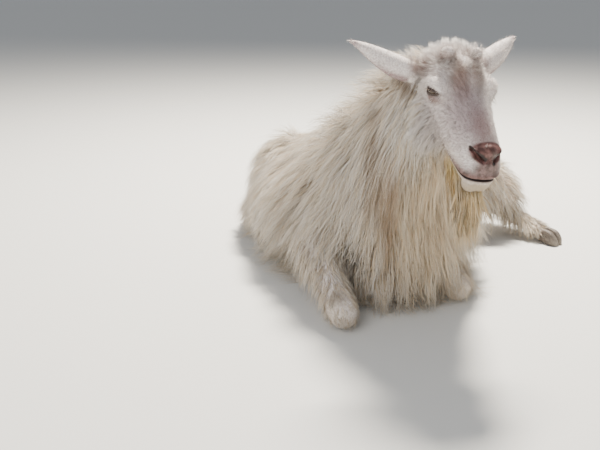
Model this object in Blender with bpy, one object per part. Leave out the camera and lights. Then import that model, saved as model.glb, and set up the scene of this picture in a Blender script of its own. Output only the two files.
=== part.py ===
"""A long-haired, hornless white goat lying on its breast, life size, as a still museum model.

Metres, +Z up. The goat looks along -Y and its right side is at -X. The origin is on the floor,
under the breastbone. The trunk rests flat on the floor, the forelegs are folded under the chest,
the right hind leg is folded along the flank and the left hind leg lies out to the side.
"""

import math
import random

import bmesh
import bpy
import numpy as np
from mathutils import Matrix, Vector
from mathutils.bvhtree import BVHTree
from mathutils.kdtree import KDTree

# Clearance kept between two pieces that meet.
GAP = 0.0003

# What a fused leg is grown by to cut again what the beds of its locks left.
SLIGHT = 0.0001

# How far the core of the solid reaches through the coat: 0 is the skin, 1 is the hair's tips.
CORE_REACH = 0.42

# Largest bend, in radians, at a corner that a straight edge doesn't need.
STRAIGHT = 0.002

# Corners of two walls nearer than this are drawn apart, each by the second length.
TOUCHING = 0.000005
DRAWN_APART = 0.00004

# Faces split one by one, at most, to keep two faces at each edge.
CROWDED_ROUNDS = 16

# Sides of a limb's ring and of a trunk's ring.
LIMB_SIDES = 12
TRUNK_SIDES = 24
HEAD_SIDES = 28

# Trunk, from the seat to the breast. Each row is a section across the body:
# place along the body, middle, lowest, highest, half width, coat depth on top, coat depth at the side.
TRUNK_ROWS = [
    (0.715, -0.025, 0.110, 0.185, 0.035, 0.020, 0.030),
    (0.690, -0.025, 0.070, 0.228, 0.085, 0.022, 0.035),
    (0.620, -0.025, 0.002, 0.262, 0.145, 0.024, 0.045),
    (0.530, -0.020, -0.012, 0.290, 0.175, 0.024, 0.055),
    (0.420, -0.010, -0.012, 0.315, 0.192, 0.024, 0.062),
    (0.300, 0.000, -0.012, 0.345, 0.205, 0.024, 0.068),
    (0.180, 0.004, -0.012, 0.382, 0.198, 0.026, 0.080),
    (0.060, 0.004, -0.012, 0.412, 0.172, 0.030, 0.090),
    (-0.030, 0.002, -0.010, 0.400, 0.148, 0.035, 0.075),
    (-0.100, 0.000, -0.004, 0.340, 0.128, 0.040, 0.050),
    (-0.145, 0.000, 0.030, 0.260, 0.095, 0.040, 0.040),
    (-0.172, 0.000, 0.080, 0.200, 0.045, 0.035, 0.035),
]
# Height of the widest place of a trunk section, as a share of its height.
TRUNK_WIDEST = 0.40

# Neck, from inside the chest to behind the skull: middle x, y, z, half width, half depth,
# coat depth at the sides, coat depth in front and behind.
NECK_ROWS = [
    (0.002, 0.040, 0.235, 0.110, 0.130, 0.050, 0.045),
    (0.004, -0.020, 0.305, 0.102, 0.130, 0.055, 0.050),
    (0.008, -0.082, 0.385, 0.086, 0.112, 0.055, 0.052),
    (0.014, -0.145, 0.463, 0.072, 0.092, 0.045, 0.050),
    (0.018, -0.198, 0.528, 0.064, 0.076, 0.030, 0.036),
    (0.018, -0.238, 0.565, 0.060, 0.064, 0.015, 0.022),
]

# The poll, which the head is measured from: across, forward and up. The head is turned and
# tilted a little to its left.
POLL = Vector((0.0165, -0.289, 0.628))
HEAD_TURN = math.radians(10)
HEAD_TILT = math.radians(4)

# Skull and muzzle, one sloping section to a row: the face line's place forward and up of the
# poll, the jaw line's, and half the width.
HEAD_ROWS = [
    (-0.056, -0.030, -0.064, -0.082, 0.024),
    (-0.034, -0.008, -0.052, -0.116, 0.046),
    (0.004, 0.006, -0.030, -0.141, 0.058),
    (0.038, -0.008, -0.008, -0.157, 0.065),
    (0.067, -0.046, 0.014, -0.173, 0.067),
    (0.090, -0.080, 0.036, -0.191, 0.061),
    (0.111, -0.107, 0.056, -0.209, 0.054),
    (0.129, -0.131, 0.076, -0.227, 0.050),
    (0.143, -0.150, 0.096, -0.243, 0.047),
    (0.153, -0.167, 0.114, -0.257, 0.044),
    (0.160, -0.185, 0.130, -0.263, 0.039),
    (0.164, -0.202, 0.146, -0.258, 0.029),
    (0.166, -0.216, 0.157, -0.247, 0.013),
]

# Rounded forms set into both sides of the head: half spacing, place forward and up of the poll,
# then the half sizes across, along and square to the face line, which falls at FACE_FALL.
FACE_FALL = math.radians(52)
HEAD_ROUNDS = [
    # orbits
    (0.056, 0.048, -0.073, 0.023, 0.030, 0.023),
    # cheeks
    (0.038, 0.012, -0.128, 0.029, 0.048, 0.040),
    # horn knobs
    (0.035, 0.030, -0.002, 0.016, 0.015, 0.016),
    # upper lips
    (0.022, 0.134, -0.213, 0.024, 0.028, 0.023),
    # wings of the nostrils
    (0.018, 0.146, -0.182, 0.018, 0.016, 0.014),
    # chin and lower lip
    (0.011, 0.128, -0.250, 0.021, 0.019, 0.024),
]

# Eyes: place of the ball's centre, its radius, and the lids' thickness and opening.
EYE_SPREAD = 0.0620
EYE_FORWARD = 0.048
EYE_UP = -0.077
EYE_RADIUS = 0.0165
LID_THICK = 0.0032
LID_HALF_OPENING = 0.0052
LID_HALF_LENGTH = 0.0170
LID_SLOPE = math.radians(20)

# Mouth line: its corner and front, forward and up of the poll, its width, and how far up it
# bows between them, or down where that is below 0.
MOUTH_CORNER = (0.074, -0.216)
MOUTH_FRONT = (0.172, -0.242)
MOUTH_WIDTH = 0.0018
MOUTH_BOW = -0.010

# Nostrils: half spacing, place, half sizes and slant.
NOSTRIL_PLACE = (0.0195, 0.157, -0.186)
NOSTRIL_SIZE = (0.0042, 0.0100, 0.0090)
NOSTRIL_SLANT = math.radians(35)

# Ears: root and tip from the poll, the bow of the leaf, and its thickness.
EAR_ROOT = Vector((0.062, 0.036, -0.060))
EAR_TIP = Vector((0.196, 0.100, 0.016))
EAR_BOW = 0.014
EAR_THICK = 0.0035
# Share of the length, half width, and half turn of the leaf round its cup in degrees.
EAR_ROWS = [
    (0.00, 0.0180, 165),
    (0.12, 0.0225, 150),
    (0.30, 0.0255, 125),
    (0.50, 0.0245, 105),
    (0.70, 0.0195, 92),
    (0.88, 0.0110, 80),
    (1.00, 0.0030, 70),
]

# Limbs. Each row is a place on the limb's middle, then its half width and half height.
FOREARM_RIGHT = [
    (-0.150, 0.045, 0.165, 0.050, 0.060),
    (-0.190, 0.010, 0.122, 0.050, 0.056),
    (-0.200, -0.070, 0.100, 0.040, 0.044),
    (-0.204, -0.150, 0.078, 0.034, 0.036),
    (-0.205, -0.215, 0.056, 0.038, 0.040),
    (-0.205, -0.250, 0.043, 0.042, 0.042),
    (-0.204, -0.278, 0.034, 0.034, 0.034),
    (-0.204, -0.290, 0.030, 0.016, 0.018),
]
# The left foreleg is the right one turned over the midline and drawn back under the chest.
FORE_LEFT_SHIFT = (-0.084, 0.084, 0.0)
FRONT_CANNON_RIGHT = [
    (-0.205, -0.245, 0.026, 0.028, 0.027),
    (-0.202, -0.190, 0.022, 0.022, 0.022),
    (-0.196, -0.120, 0.020, 0.019, 0.020),
    (-0.190, -0.075, 0.022, 0.023, 0.023),
    (-0.186, -0.035, 0.020, 0.019, 0.020),
]
THIGH_RIGHT = [
    (-0.112, 0.610, 0.190, 0.060, 0.080),
    (-0.128, 0.560, 0.182, 0.084, 0.108),
    (-0.150, 0.470, 0.158, 0.090, 0.110),
    (-0.178, 0.385, 0.135, 0.080, 0.094),
    (-0.198, 0.325, 0.115, 0.058, 0.068),
    (-0.205, 0.295, 0.105, 0.030, 0.036),
]
SHANK_RIGHT = [
    (-0.205, 0.320, 0.105, 0.050, 0.060),
    (-0.218, 0.390, 0.098, 0.050, 0.060),
    (-0.228, 0.470, 0.082, 0.042, 0.048),
    (-0.232, 0.540, 0.064, 0.034, 0.038),
    (-0.234, 0.585, 0.048, 0.030, 0.034),
    (-0.234, 0.610, 0.040, 0.018, 0.022),
]
HIND_CANNON_RIGHT = [
    (-0.236, 0.590, 0.030, 0.026, 0.027),
    (-0.242, 0.530, 0.022, 0.022, 0.022),
    (-0.248, 0.465, 0.020, 0.020, 0.020),
    (-0.250, 0.425, 0.022, 0.024, 0.023),
    (-0.248, 0.385, 0.020, 0.020, 0.020),
]
THIGH_LEFT = [
    (0.095, 0.580, 0.215, 0.075, 0.080),
    (0.118, 0.545, 0.215, 0.100, 0.105),
    (0.172, 0.480, 0.202, 0.100, 0.115),
    (0.228, 0.425, 0.186, 0.088, 0.108),
    (0.278, 0.385, 0.172, 0.068, 0.088),
    (0.303, 0.362, 0.165, 0.038, 0.054),
]
SHANK_LEFT = [
    (0.272, 0.388, 0.172, 0.066, 0.084),
    (0.335, 0.364, 0.164, 0.074, 0.092),
    (0.400, 0.346, 0.150, 0.078, 0.094),
    (0.458, 0.332, 0.130, 0.072, 0.084),
    (0.502, 0.316, 0.106, 0.055, 0.062),
    (0.530, 0.300, 0.088, 0.026, 0.030),
]
HIND_CANNON_LEFT = [
    (0.488, 0.318, 0.082, 0.030, 0.033),
    (0.517, 0.280, 0.060, 0.025, 0.027),
    (0.547, 0.238, 0.041, 0.022, 0.023),
    (0.562, 0.212, 0.031, 0.026, 0.026),
    (0.575, 0.185, 0.024, 0.022, 0.023),
]

# Hooves: height and length of the claws, and the cleft between them.
HOOF_HEIGHT = 0.040
HOOF_LENGTH = 0.066
HOOF_CLEFT = 0.0045
# Distance from the coronet as a share of the length, half width, half height.
HOOF_ROWS = [
    (0.00, 0.0195, 0.0190),
    (0.25, 0.0235, 0.0215),
    (0.55, 0.0250, 0.0210),
    (0.82, 0.0215, 0.0150),
    (1.00, 0.0110, 0.0060),
]

# Locks of hair: how deep a root is sunk, the length of a stretch between bends, the thickness as
# a share of the width, the width of root and tip as shares of the widest, how hard a lock hangs,
# how far a lock keeps above the hair under it, the lowest that it may lie, and how far it feels
# for that hair.
LOCK_SUNK = 0.009
LOCK_STEP = 0.060
LOCK_FLATNESS = 0.10
LOCK_ROOT_WIDTH = 0.70
LOCK_TIP_WIDTH = 0.16
LOCK_WEIGHT = 0.34
LOCK_CLEAR = 0.0045
LOCK_FLOOR = 0.005
LOCK_SEARCH = 0.06
# A root is left out where another body is nearer than the first length, or buries it by less than
# the second.
ROOT_CLEAR = 0.004
ROOT_BURIED = 0.15
SHANK_SEED = 11
THIGH_SEED = 11
TAIL_SEED = 7
TRUNK_SEED = 7
NECK_SEED = 7
# How much more width a bed for a lock needs for each length that it clears it by.
LOCK_EDGE = 9

# Locks of the trunk. Each row runs along one side: turn down from the spine in degrees, first
# and last place along the body, count, length, width, lift of the tip off what lies under it.
TRUNK_LOCKS = [
    (100, 0.610, 0.030, 6, 0.165, 0.104, 0.018),
    (76, 0.645, -0.010, 7, 0.205, 0.106, 0.012),
    (50, 0.625, 0.050, 7, 0.205, 0.104, 0.008),
    (24, 0.650, 0.120, 6, 0.195, 0.102, 0.005),
]
# Locks along the spine, to one side and the other by turns.
SPINE_LOCKS = (0.570, 0.160, 5, 0.150, 0.084, 0.004)
# Locks round the seat: turn from the spine in degrees, at the hind end of the trunk.
SEAT_LOCKS = [125, 92, 58]
SEAT_LOCK_SIZE = (0.155, 0.088)
# Locks of the breast: height of the root, turns from straight ahead in degrees, length, width.
BREAST_LOCKS = [
    (0.150, (0, 34, -34), 0.15, 0.080),
    (0.230, (17, -17, 52, -52), 0.20, 0.084),
]

# Locks of the neck, in rings from the chest up: share of the neck's length, count round half
# of the neck, first and last turn from the crest in degrees, length, width, lift of the tip.
NECK_LOCKS = [
    (0.20, 3, 66, 168, 0.230, 0.092, 0.012),
    (0.38, 4, 24, 172, 0.235, 0.092, 0.010),
    (0.56, 4, 6, 160, 0.220, 0.090, 0.008),
    (0.74, 4, 22, 150, 0.180, 0.082, 0.006),
    (0.92, 3, 8, 118, 0.120, 0.072, 0.005),
]

# Locks of the thighs and the left shank: share of the limb's length, turns from its upper side,
# length, width. The right thigh's own outer side is at turns above 0, the left one's below 0.
THIGH_RIGHT_LOCKS = [
    (0.86, (20,), 0.12, 0.078),
    (0.62, (0, 48, 96), 0.15, 0.084),
    (0.34, (24, 72), 0.16, 0.084),
]
THIGH_LEFT_LOCKS = [
    (0.84, (-75, -20, 40), 0.12, 0.074),
    (0.52, (-92, -46, 6), 0.15, 0.080),
]
SHANK_LEFT_LOCKS = [
    (0.66, (-60, 0, 60), 0.10, 0.056),
    (0.34, (-32, 32), 0.12, 0.062),
]

# The tail, and its locks: share of the length, count round, length, width.
TAIL_CORE = [
    (-0.025, 0.640, 0.225, 0.022, 0.018),
    (-0.025, 0.700, 0.222, 0.022, 0.017),
    (-0.026, 0.738, 0.205, 0.020, 0.015),
    (-0.027, 0.758, 0.175, 0.014, 0.010),
    (-0.028, 0.764, 0.155, 0.005, 0.004),
]
TAIL_LOCKS = [(0.82, 2, 0.090, 0.048), (0.50, 2, 0.100, 0.052)]

# Beard: the half sizes of the pad under the jaw that it grows from, and its place.
BEARD_PAD = (0.027, 0.052, 0.020)
BEARD_PLACE = (0, 0.088, -0.246)
JAW_FALL = math.radians(38)
# The beard's fall: middle x, y, z, half width, half depth.
BEARD_ROWS = [
    (0.015, -0.382, 0.390, 0.022, 0.034),
    (0.015, -0.376, 0.352, 0.034, 0.040),
    (0.016, -0.364, 0.305, 0.038, 0.034),
    (0.018, -0.353, 0.262, 0.031, 0.026),
    (0.022, -0.345, 0.226, 0.019, 0.016),
    (0.026, -0.342, 0.200, 0.006, 0.005),
]
BEARD_SIDES = 12

# Colour, roughness and metallic value of each finish.
WHITE_COAT = ((0.80, 0.74, 0.64), 0.80, 0.0)
CREAM_COAT = ((0.72, 0.62, 0.47), 0.80, 0.0)
HOOF_GREY = ((0.16, 0.13, 0.11), 0.45, 0.0)
EYE_AMBER = ((0.22, 0.13, 0.05), 0.15, 0.0)


def clear_scene():
    for obj in list(bpy.data.objects):
        bpy.data.objects.remove(obj, do_unlink=True)


def finish(name, values):
    """A material with its colour, roughness and metallic value."""
    colour, roughness, metallic = values
    material = bpy.data.materials.new(name)
    material.use_nodes = True
    shader = material.node_tree.nodes["Principled BSDF"]
    shader.inputs["Base Color"].default_value = (*colour, 1.0)
    shader.inputs["Roughness"].default_value = roughness
    shader.inputs["Metallic"].default_value = metallic
    material.diffuse_color = (*colour, 1.0)
    return material


def add_object(name, mesh):
    obj = bpy.data.objects.new(name, mesh)
    bpy.context.scene.collection.objects.link(obj)
    return obj


def close_up(mesh):
    """Triangles, with every face pointing out."""
    shape = bmesh.new()
    shape.from_mesh(mesh)
    bmesh.ops.triangulate(shape, faces=shape.faces)
    bmesh.ops.recalc_face_normals(shape, faces=shape.faces)
    shape.to_mesh(mesh)
    shape.free()


def smooth_rows(rows, steps):
    """Rows of numbers read off one smooth curve through the given rows, STEPS to a stretch."""
    rows = np.array(rows, float)
    held = np.vstack([2 * rows[0] - rows[1], rows, 2 * rows[-1] - rows[-2]])
    found = []
    for index in range(len(rows) - 1):
        before, start, end, after = held[index : index + 4]
        for step in range(steps):
            t = step / steps
            bend = 2 * before - 5 * start + 4 * end - after
            twist = 3 * (start - end) + after - before
            found.append(start + 0.5 * t * (end - before + t * (bend + t * twist)))
    found.append(rows[-1])
    return np.array(found).tolist()


def skin_rings(name, rings, slanted=False):
    """A closed body through rings of points, with a flat end at each side.

    SLANTED splits every four-sided face the same way, so that a larger copy fits all round.
    """
    sides = len(rings[0])
    points = [point for ring in rings for point in ring]
    faces = []
    for index in range(len(rings) - 1):
        for side in range(sides):
            here = index * sides + side
            beside = index * sides + (side + 1) % sides
            if slanted:
                faces.append((here, beside, beside + sides))
                faces.append((here, beside + sides, here + sides))
            else:
                faces.append((here, beside, beside + sides, here + sides))
    faces.append(tuple(range(sides)))
    faces.append(tuple(range(len(points) - sides, len(points))))
    mesh = bpy.data.meshes.new(name)
    mesh.from_pydata(points, [], faces)
    close_up(mesh)
    return add_object(name, mesh)


def bulge(value, power):
    """A sine or cosine pushed towards a squarer outline by a power over 2."""
    return math.copysign(abs(value) ** (2 / power), value)


def limb(name, rows, steps=2, sides=LIMB_SIDES, up=Vector((0, 0, 1))):
    """A rounded body along a path, its rings square to the path."""
    rows = smooth_rows(rows, steps)
    path = [Vector(row[:3]) for row in rows]
    rings = []
    for index, row in enumerate(rows):
        ahead = path[min(index + 1, len(path) - 1)]
        behind = path[max(index - 1, 0)]
        run = (ahead - behind).normalized()
        across = run.cross(up).normalized()
        rise = across.cross(run).normalized()
        ring = []
        for side in range(sides):
            turn = 2 * math.pi * side / sides
            reach = across * row[3] * math.cos(turn) + rise * row[4] * math.sin(turn)
            ring.append(path[index] + reach)
        rings.append(ring)
    return skin_rings(name, rings)


def trunk(name, reach):
    """The trunk's loft, out to REACH of its coat."""
    rings = []
    for row in smooth_rows(TRUNK_ROWS, 2):
        along, middle, low, high, half, coat_top, coat_side = row
        widest = low + TRUNK_WIDEST * (high - low)
        ring = []
        for side in range(TRUNK_SIDES):
            turn = 2 * math.pi * side / TRUNK_SIDES
            across = bulge(math.cos(turn), 2.2)
            rise = bulge(math.sin(turn), 2.2)
            tall = high - widest if rise > 0 else widest - low
            x = middle + (half + reach * coat_side) * across
            z = widest + (tall + reach * coat_top * (rise > 0)) * rise
            ring.append(Vector((x, along, z)))
        rings.append(ring)
    return skin_rings(name, rings)


def neck(name, reach):
    rows = []
    for x, y, z, half, deep, coat_side, coat_deep in NECK_ROWS:
        rows.append((x, y, z, half + reach * coat_side, deep + reach * coat_deep))
    return limb(name, rows, 2, 20, Vector((0, 1, 0)))


def head_frame():
    """Turns (across, forward, up) from the poll into world coordinates."""
    facing = Matrix(((1, 0, 0), (0, -1, 0), (0, 0, 1))).to_4x4()
    turn = Matrix.Rotation(HEAD_TURN, 4, "Z") @ Matrix.Rotation(HEAD_TILT, 4, "Y")
    return Matrix.Translation(POLL) @ turn @ facing


def ball(name, centre, sizes, turn=None, segments=20, rings=12):
    """An ellipsoid with its half SIZES, set in the head's frame."""
    mesh = bpy.data.meshes.new(name)
    shape = bmesh.new()
    bmesh.ops.create_uvsphere(shape, u_segments=segments, v_segments=rings, radius=1)
    place = Matrix.Translation(Vector(centre))
    if turn is not None:
        place = place @ turn
    place = head_frame() @ place @ Matrix.Diagonal((*sizes, 1))
    bmesh.ops.transform(shape, matrix=place, verts=shape.verts)
    bmesh.ops.triangulate(shape, faces=shape.faces)
    bmesh.ops.recalc_face_normals(shape, faces=shape.faces)
    shape.to_mesh(mesh)
    shape.free()
    return add_object(name, mesh)


def skull(name):
    frame = head_frame()
    rings = []
    for face_ahead, face_up, jaw_ahead, jaw_up, half in smooth_rows(HEAD_ROWS, 2):
        face = Vector((0, face_ahead, face_up))
        jaw = Vector((0, jaw_ahead, jaw_up))
        ring = []
        for side in range(HEAD_SIDES):
            turn = 2 * math.pi * side / HEAD_SIDES
            rise = bulge(math.sin(turn), 2.3)
            pinch = 1 - 0.22 * max(0.0, -rise)
            across = half * bulge(math.cos(turn), 2.5) * pinch
            place = jaw.lerp(face, 0.5 + 0.5 * rise)
            ring.append(frame @ (place + Vector((across, 0, 0))))
        rings.append(ring)
    return skin_rings(name, rings)


def evaluated_mesh(obj):
    graph = bpy.context.evaluated_depsgraph_get()
    return bpy.data.meshes.new_from_object(obj.evaluated_get(graph))


def bake_modifiers(obj):
    mesh = evaluated_mesh(obj)
    obj.modifiers.clear()
    obj.data = mesh


def join(name, pieces):
    """One object that holds the meshes of all the pieces, which are removed."""
    shape = bmesh.new()
    for piece in pieces:
        shape.from_mesh(piece.data)
        bpy.data.objects.remove(piece, do_unlink=True)
    mesh = bpy.data.meshes.new(name)
    shape.to_mesh(mesh)
    shape.free()
    return add_object(name, mesh)


def blend(obj, voxel, rounds, faces):
    """Melts the overlapping pieces of OBJ into one soft form of about FACES triangles."""
    melt = obj.modifiers.new("melt", "REMESH")
    melt.mode = "VOXEL"
    melt.voxel_size = voxel
    soften = obj.modifiers.new("soften", "SMOOTH")
    soften.factor = 0.5
    soften.iterations = rounds
    bake_modifiers(obj)
    count = sum(len(face.vertices) - 2 for face in obj.data.polygons)
    thin = obj.modifiers.new("thin", "DECIMATE")
    thin.ratio = min(1.0, faces / count)
    thin.use_collapse_triangulate = True
    bake_modifiers(obj)
    close_up(obj.data)
    return obj


def grown(obj, by=GAP):
    """A copy of OBJ, larger by BY all round, to cut its bed in a neighbour."""
    mesh = obj.data.copy()
    copy = add_object(obj.name + "_grown", mesh)
    moved = [vertex.co + vertex.normal * by for vertex in mesh.vertices]
    for vertex, place in zip(mesh.vertices, moved):
        vertex.co = place
    return copy


def keep_largest(obj):
    """Drops every closed surface of OBJ but the one round the most volume."""
    shape = bmesh.new()
    shape.from_mesh(obj.data)
    left = set(shape.faces)
    bodies = []
    while left:
        first = left.pop()
        body = [first]
        queue = [first]
        while queue:
            face = queue.pop()
            for edge in face.edges:
                # where four faces meet at an edge, two surfaces only touch
                for other in edge.link_faces if len(edge.link_faces) == 2 else ():
                    if other in left:
                        left.remove(other)
                        body.append(other)
                        queue.append(other)
        volume = 0.0
        for face in body:
            a, b, c = (corner.co for corner in face.verts[:3])
            volume += a.dot(b.cross(c)) / 6
        bodies.append((volume, body))
    bodies.sort(key=lambda item: item[0])
    scraps = [face for _, body in bodies[:-1] for face in body]
    bmesh.ops.delete(shape, geom=scraps, context="FACES")
    shape.to_mesh(obj.data)
    shape.free()


def combine(obj, others, operation, solver="EXACT"):
    """Joins OTHERS to OBJ or cuts them from it, all in one Boolean, and removes them."""
    group = bpy.data.collections.new("operands")
    bpy.context.scene.collection.children.link(group)
    for other in others:
        for holder in list(other.users_collection):
            holder.objects.unlink(other)
        group.objects.link(other)
    change = obj.modifiers.new("change", "BOOLEAN")
    change.operation = operation
    change.operand_type = "COLLECTION"
    change.collection = group
    change.solver = solver
    bake_modifiers(obj)
    for other in others:
        bpy.data.objects.remove(other, do_unlink=True)
    bpy.data.collections.remove(group)
    close_triangles(obj)
    keep_largest(obj)
    return obj


def draw_apart(shape):
    """Opens a hair's gap where two walls of SHAPE only just touch."""
    tree = KDTree(len(shape.verts))
    for index, corner in enumerate(shape.verts):
        tree.insert(corner.co, index)
    tree.balance()
    shape.verts.ensure_lookup_table()

    def middle_round(corner):
        ring = [edge.other_vert(corner).co for edge in corner.link_edges]
        return sum(ring, Vector()) / len(ring)

    moves = []
    for corner in shape.verts:
        joined = {edge.other_vert(corner).index for edge in corner.link_edges}
        for _, index, _ in tree.find_range(corner.co, TOUCHING):
            if index != corner.index and index not in joined:
                away = middle_round(corner) - middle_round(shape.verts[index])
                moves.append((corner, away.normalized() * DRAWN_APART))
    for corner, move in moves:
        corner.co += move


def crowded_faces(shape):
    """Faces that would share a new edge with another face once both are split into triangles."""
    trial = shape.copy()
    bmesh.ops.triangulate(trial, faces=trial.faces)
    ends = [[corner.index for corner in e.verts] for e in trial.edges if len(e.link_faces) > 2]
    trial.free()
    shape.verts.ensure_lookup_table()
    found = []
    for first, second in ends:
        first, second = shape.verts[first], shape.verts[second]
        between = shape.edges.get((first, second))
        for face in first.link_faces:
            if second in face.verts and (between is None or between not in face.edges):
                found.append(face)
    return list(set(found))


def close_triangles(obj):
    """Splits every face into triangles, two at each edge, without idle corners."""
    shape = bmesh.new()
    shape.from_mesh(obj.data)
    idle = []
    for corner in shape.verts:
        if len(corner.link_edges) == 2:
            ways = [edge.other_vert(corner).co - corner.co for edge in corner.link_edges]
            if ways[0].angle(-ways[1], 1.0) < STRAIGHT:
                idle.append(corner)
    bmesh.ops.dissolve_verts(shape, verts=idle)
    shape.verts.index_update()
    draw_apart(shape)
    for _ in range(CROWDED_ROUNDS):
        crowded = crowded_faces(shape)
        if not crowded:
            break
        bmesh.ops.triangulate(shape, faces=crowded[:1], ngon_method="EAR_CLIP")
    bmesh.ops.triangulate(shape, faces=shape.faces)
    shape.to_mesh(obj.data)
    shape.free()


def box(name, low, high):
    mesh = bpy.data.meshes.new(name)
    shape = bmesh.new()
    bmesh.ops.create_cube(shape, size=1)
    middle = (Vector(low) + Vector(high)) / 2
    size = Vector(high) - Vector(low)
    place = Matrix.Translation(middle) @ Matrix.Diagonal((*size, 1))
    bmesh.ops.transform(shape, matrix=place, verts=shape.verts)
    shape.to_mesh(mesh)
    shape.free()
    return add_object(name, mesh)


def cut_to_floor(obj):
    """Leaves only what is above the floor, with a flat where OBJ rests on it."""
    return combine(obj, [box("below_floor", (-2, -2, -1), (2, 2, 0))], "DIFFERENCE")


def clear_of(obj, neighbours):
    """Cuts OBJ back to lie GAP away from its smooth neighbours."""
    return combine(obj, [grown(other) for other in neighbours], "DIFFERENCE")


def clear_of_clad(obj, clads):
    """Cuts OBJ back to lie GAP away from neighbours that may carry locks."""
    beds = [bed for clad in clads for bed in clad.beds()]
    return combine(obj, beds, "DIFFERENCE", "MANIFOLD")


def make_head():
    rounds = [skull("skull")]
    fall = Matrix.Rotation(-FACE_FALL, 4, "X")
    for spread, ahead, up, size_across, size_along, size_square in HEAD_ROUNDS:
        for side in (-1, 1):
            centre = (side * spread, ahead, up)
            sizes = (size_across, size_along, size_square)
            rounds.append(ball("round", centre, sizes, fall))
    rounds.append(ball("nose", (0, 0.153, -0.184), (0.024, 0.013, 0.017)))
    rounds.append(ball("brow", (0, 0.040, -0.045), (0.046, 0.050, 0.030), fall))
    return blend(join("head", rounds), 0.0035, 4, 1350)


def eye_place(side):
    return Vector((side * EYE_SPREAD, EYE_FORWARD, EYE_UP))


def make_eye(name, side):
    sizes = (EYE_RADIUS, EYE_RADIUS, EYE_RADIUS)
    return ball(name, eye_place(side), sizes, None, 12, 8)


def add_lids(head, side):
    """A shell round the ball with an almond opening, fused to the head."""
    outer = EYE_RADIUS + LID_THICK
    shell = ball("lids", eye_place(side), (outer, outer, outer), None, 16, 10)
    combine(head, [shell], "UNION")
    hollow = EYE_RADIUS + GAP * 1.5
    bed = ball("bed", eye_place(side), (hollow, hollow, hollow), None, 12, 8)
    turn = Matrix.Rotation(-LID_SLOPE, 4, "X")
    sizes = (0.012, LID_HALF_LENGTH, LID_HALF_OPENING)
    centre = eye_place(side) + Vector((side * (EYE_RADIUS + 0.002), 0.003, 0))
    opening = ball("opening", centre, sizes, turn, 12, 6)
    combine(head, [bed, opening], "DIFFERENCE")


def mouth_cutter():
    """A thin bent sheet along the mouth line, hollow where the jaw stays whole."""
    rings = []
    steps = 6
    corner = Vector((0, *MOUTH_CORNER))
    front = Vector((0, *MOUTH_FRONT))
    square = Vector((0, front.z - corner.z, corner.y - front.y)).normalized()
    frame = head_frame()
    for step in range(steps + 1):
        share = step / steps
        middle = corner.lerp(front, share)
        middle -= square * MOUTH_BOW * math.sin(math.pi * share)
        half = 0.5 * MOUTH_WIDTH * (0.35 + 0.65 * min(1.0, share * 4))
        ring = []
        for across, lift in ((-1, -half), (1, -half), (1, half), (-1, half)):
            ring.append(frame @ (middle + square * lift + Vector((across * 0.065, 0, 0))))
        rings.append(ring)
    sheet = skin_rings("mouth_sheet", rings)
    fall = Matrix.Rotation(-FACE_FALL, 4, "X")
    inner = ball("inner", (0, 0.100, -0.200), (0.034, 0.068, 0.046), fall, 12, 8)
    return combine(sheet, [inner], "DIFFERENCE")


def nostril(side):
    turn = Matrix.Rotation(side * NOSTRIL_SLANT, 4, "Y")
    across, ahead, up = NOSTRIL_PLACE
    return ball("nostril", (side * across, ahead, up), NOSTRIL_SIZE, turn, 10, 6)


def finish_head(head):
    for side in (-1, 1):
        add_lids(head, side)
    combine(head, [mouth_cutter()], "DIFFERENCE")
    combine(head, [nostril(-1), nostril(1)], "DIFFERENCE")
    return head


def make_ear(name, side):
    """A cupped leaf, closed to a tube at its root, with the cup turned down and back."""
    root = POLL + Vector((side * EAR_ROOT.x, EAR_ROOT.y, EAR_ROOT.z))
    tip = POLL + Vector((side * EAR_TIP.x, EAR_TIP.y, EAR_TIP.z))
    run = (tip - root).normalized()
    back = Vector((side * 0.25, -0.35, 1.0))
    back = (back - run * back.dot(run)).normalized()
    across = run.cross(back).normalized()
    rings = []
    arc_steps = 6
    for share, half, turn in smooth_rows(EAR_ROWS, 1):
        centre = root.lerp(tip, share) - back * EAR_BOW * math.sin(math.pi * share)
        centre += back * 0.5 * half
        ring = []
        for inner in (False, True):
            thick = EAR_THICK * (0.45 + 0.55 * (1 - share))
            radius = half - thick if inner else half
            radius = max(radius, 0.0006)
            steps = range(arc_steps + 1)
            for step in reversed(steps) if inner else steps:
                angle = math.radians(turn) * (2 * step / arc_steps - 1)
                reach = back * math.cos(angle) + across * math.sin(angle)
                ring.append(centre + radius * reach)
        rings.append(ring)
    return skin_rings(name, rings)


def make_hoof(name, coronet, tip_way, sole):
    """A cloven hoof from the coronet's centre towards TIP_WAY, its sole along SOLE."""
    run = tip_way.normalized()
    down = (sole - run * sole.dot(run)).normalized()
    across = run.cross(down).normalized()
    rings = []
    for share, half, tall in HOOF_ROWS:
        ring = []
        for side in range(LIMB_SIDES):
            turn = 2 * math.pi * side / LIMB_SIDES
            place = coronet + run * HOOF_LENGTH * share + down * (HOOF_HEIGHT * 0.5 - tall)
            place += across * half * bulge(math.cos(turn), 2.6)
            place += down * tall * bulge(math.sin(turn), 2.6)
            ring.append(place)
        rings.append(ring)
    hoof = skin_rings(name, rings)
    cleft = bpy.data.meshes.new("cleft")
    shape = bmesh.new()
    bmesh.ops.create_cube(shape, size=1)
    middle = coronet + run * (HOOF_LENGTH * 0.80)
    turn = Matrix((across, run, down)).transposed().to_4x4()
    size = Matrix.Diagonal((HOOF_CLEFT, HOOF_LENGTH * 0.95, 0.2, 1))
    bmesh.ops.transform(shape, matrix=Matrix.Translation(middle) @ turn @ size, verts=shape.verts)
    bmesh.ops.recalc_face_normals(shape, faces=shape.faces)
    shape.to_mesh(cleft)
    shape.free()
    combine(hoof, [add_object("cleft", cleft)], "DIFFERENCE")
    return hoof


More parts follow.
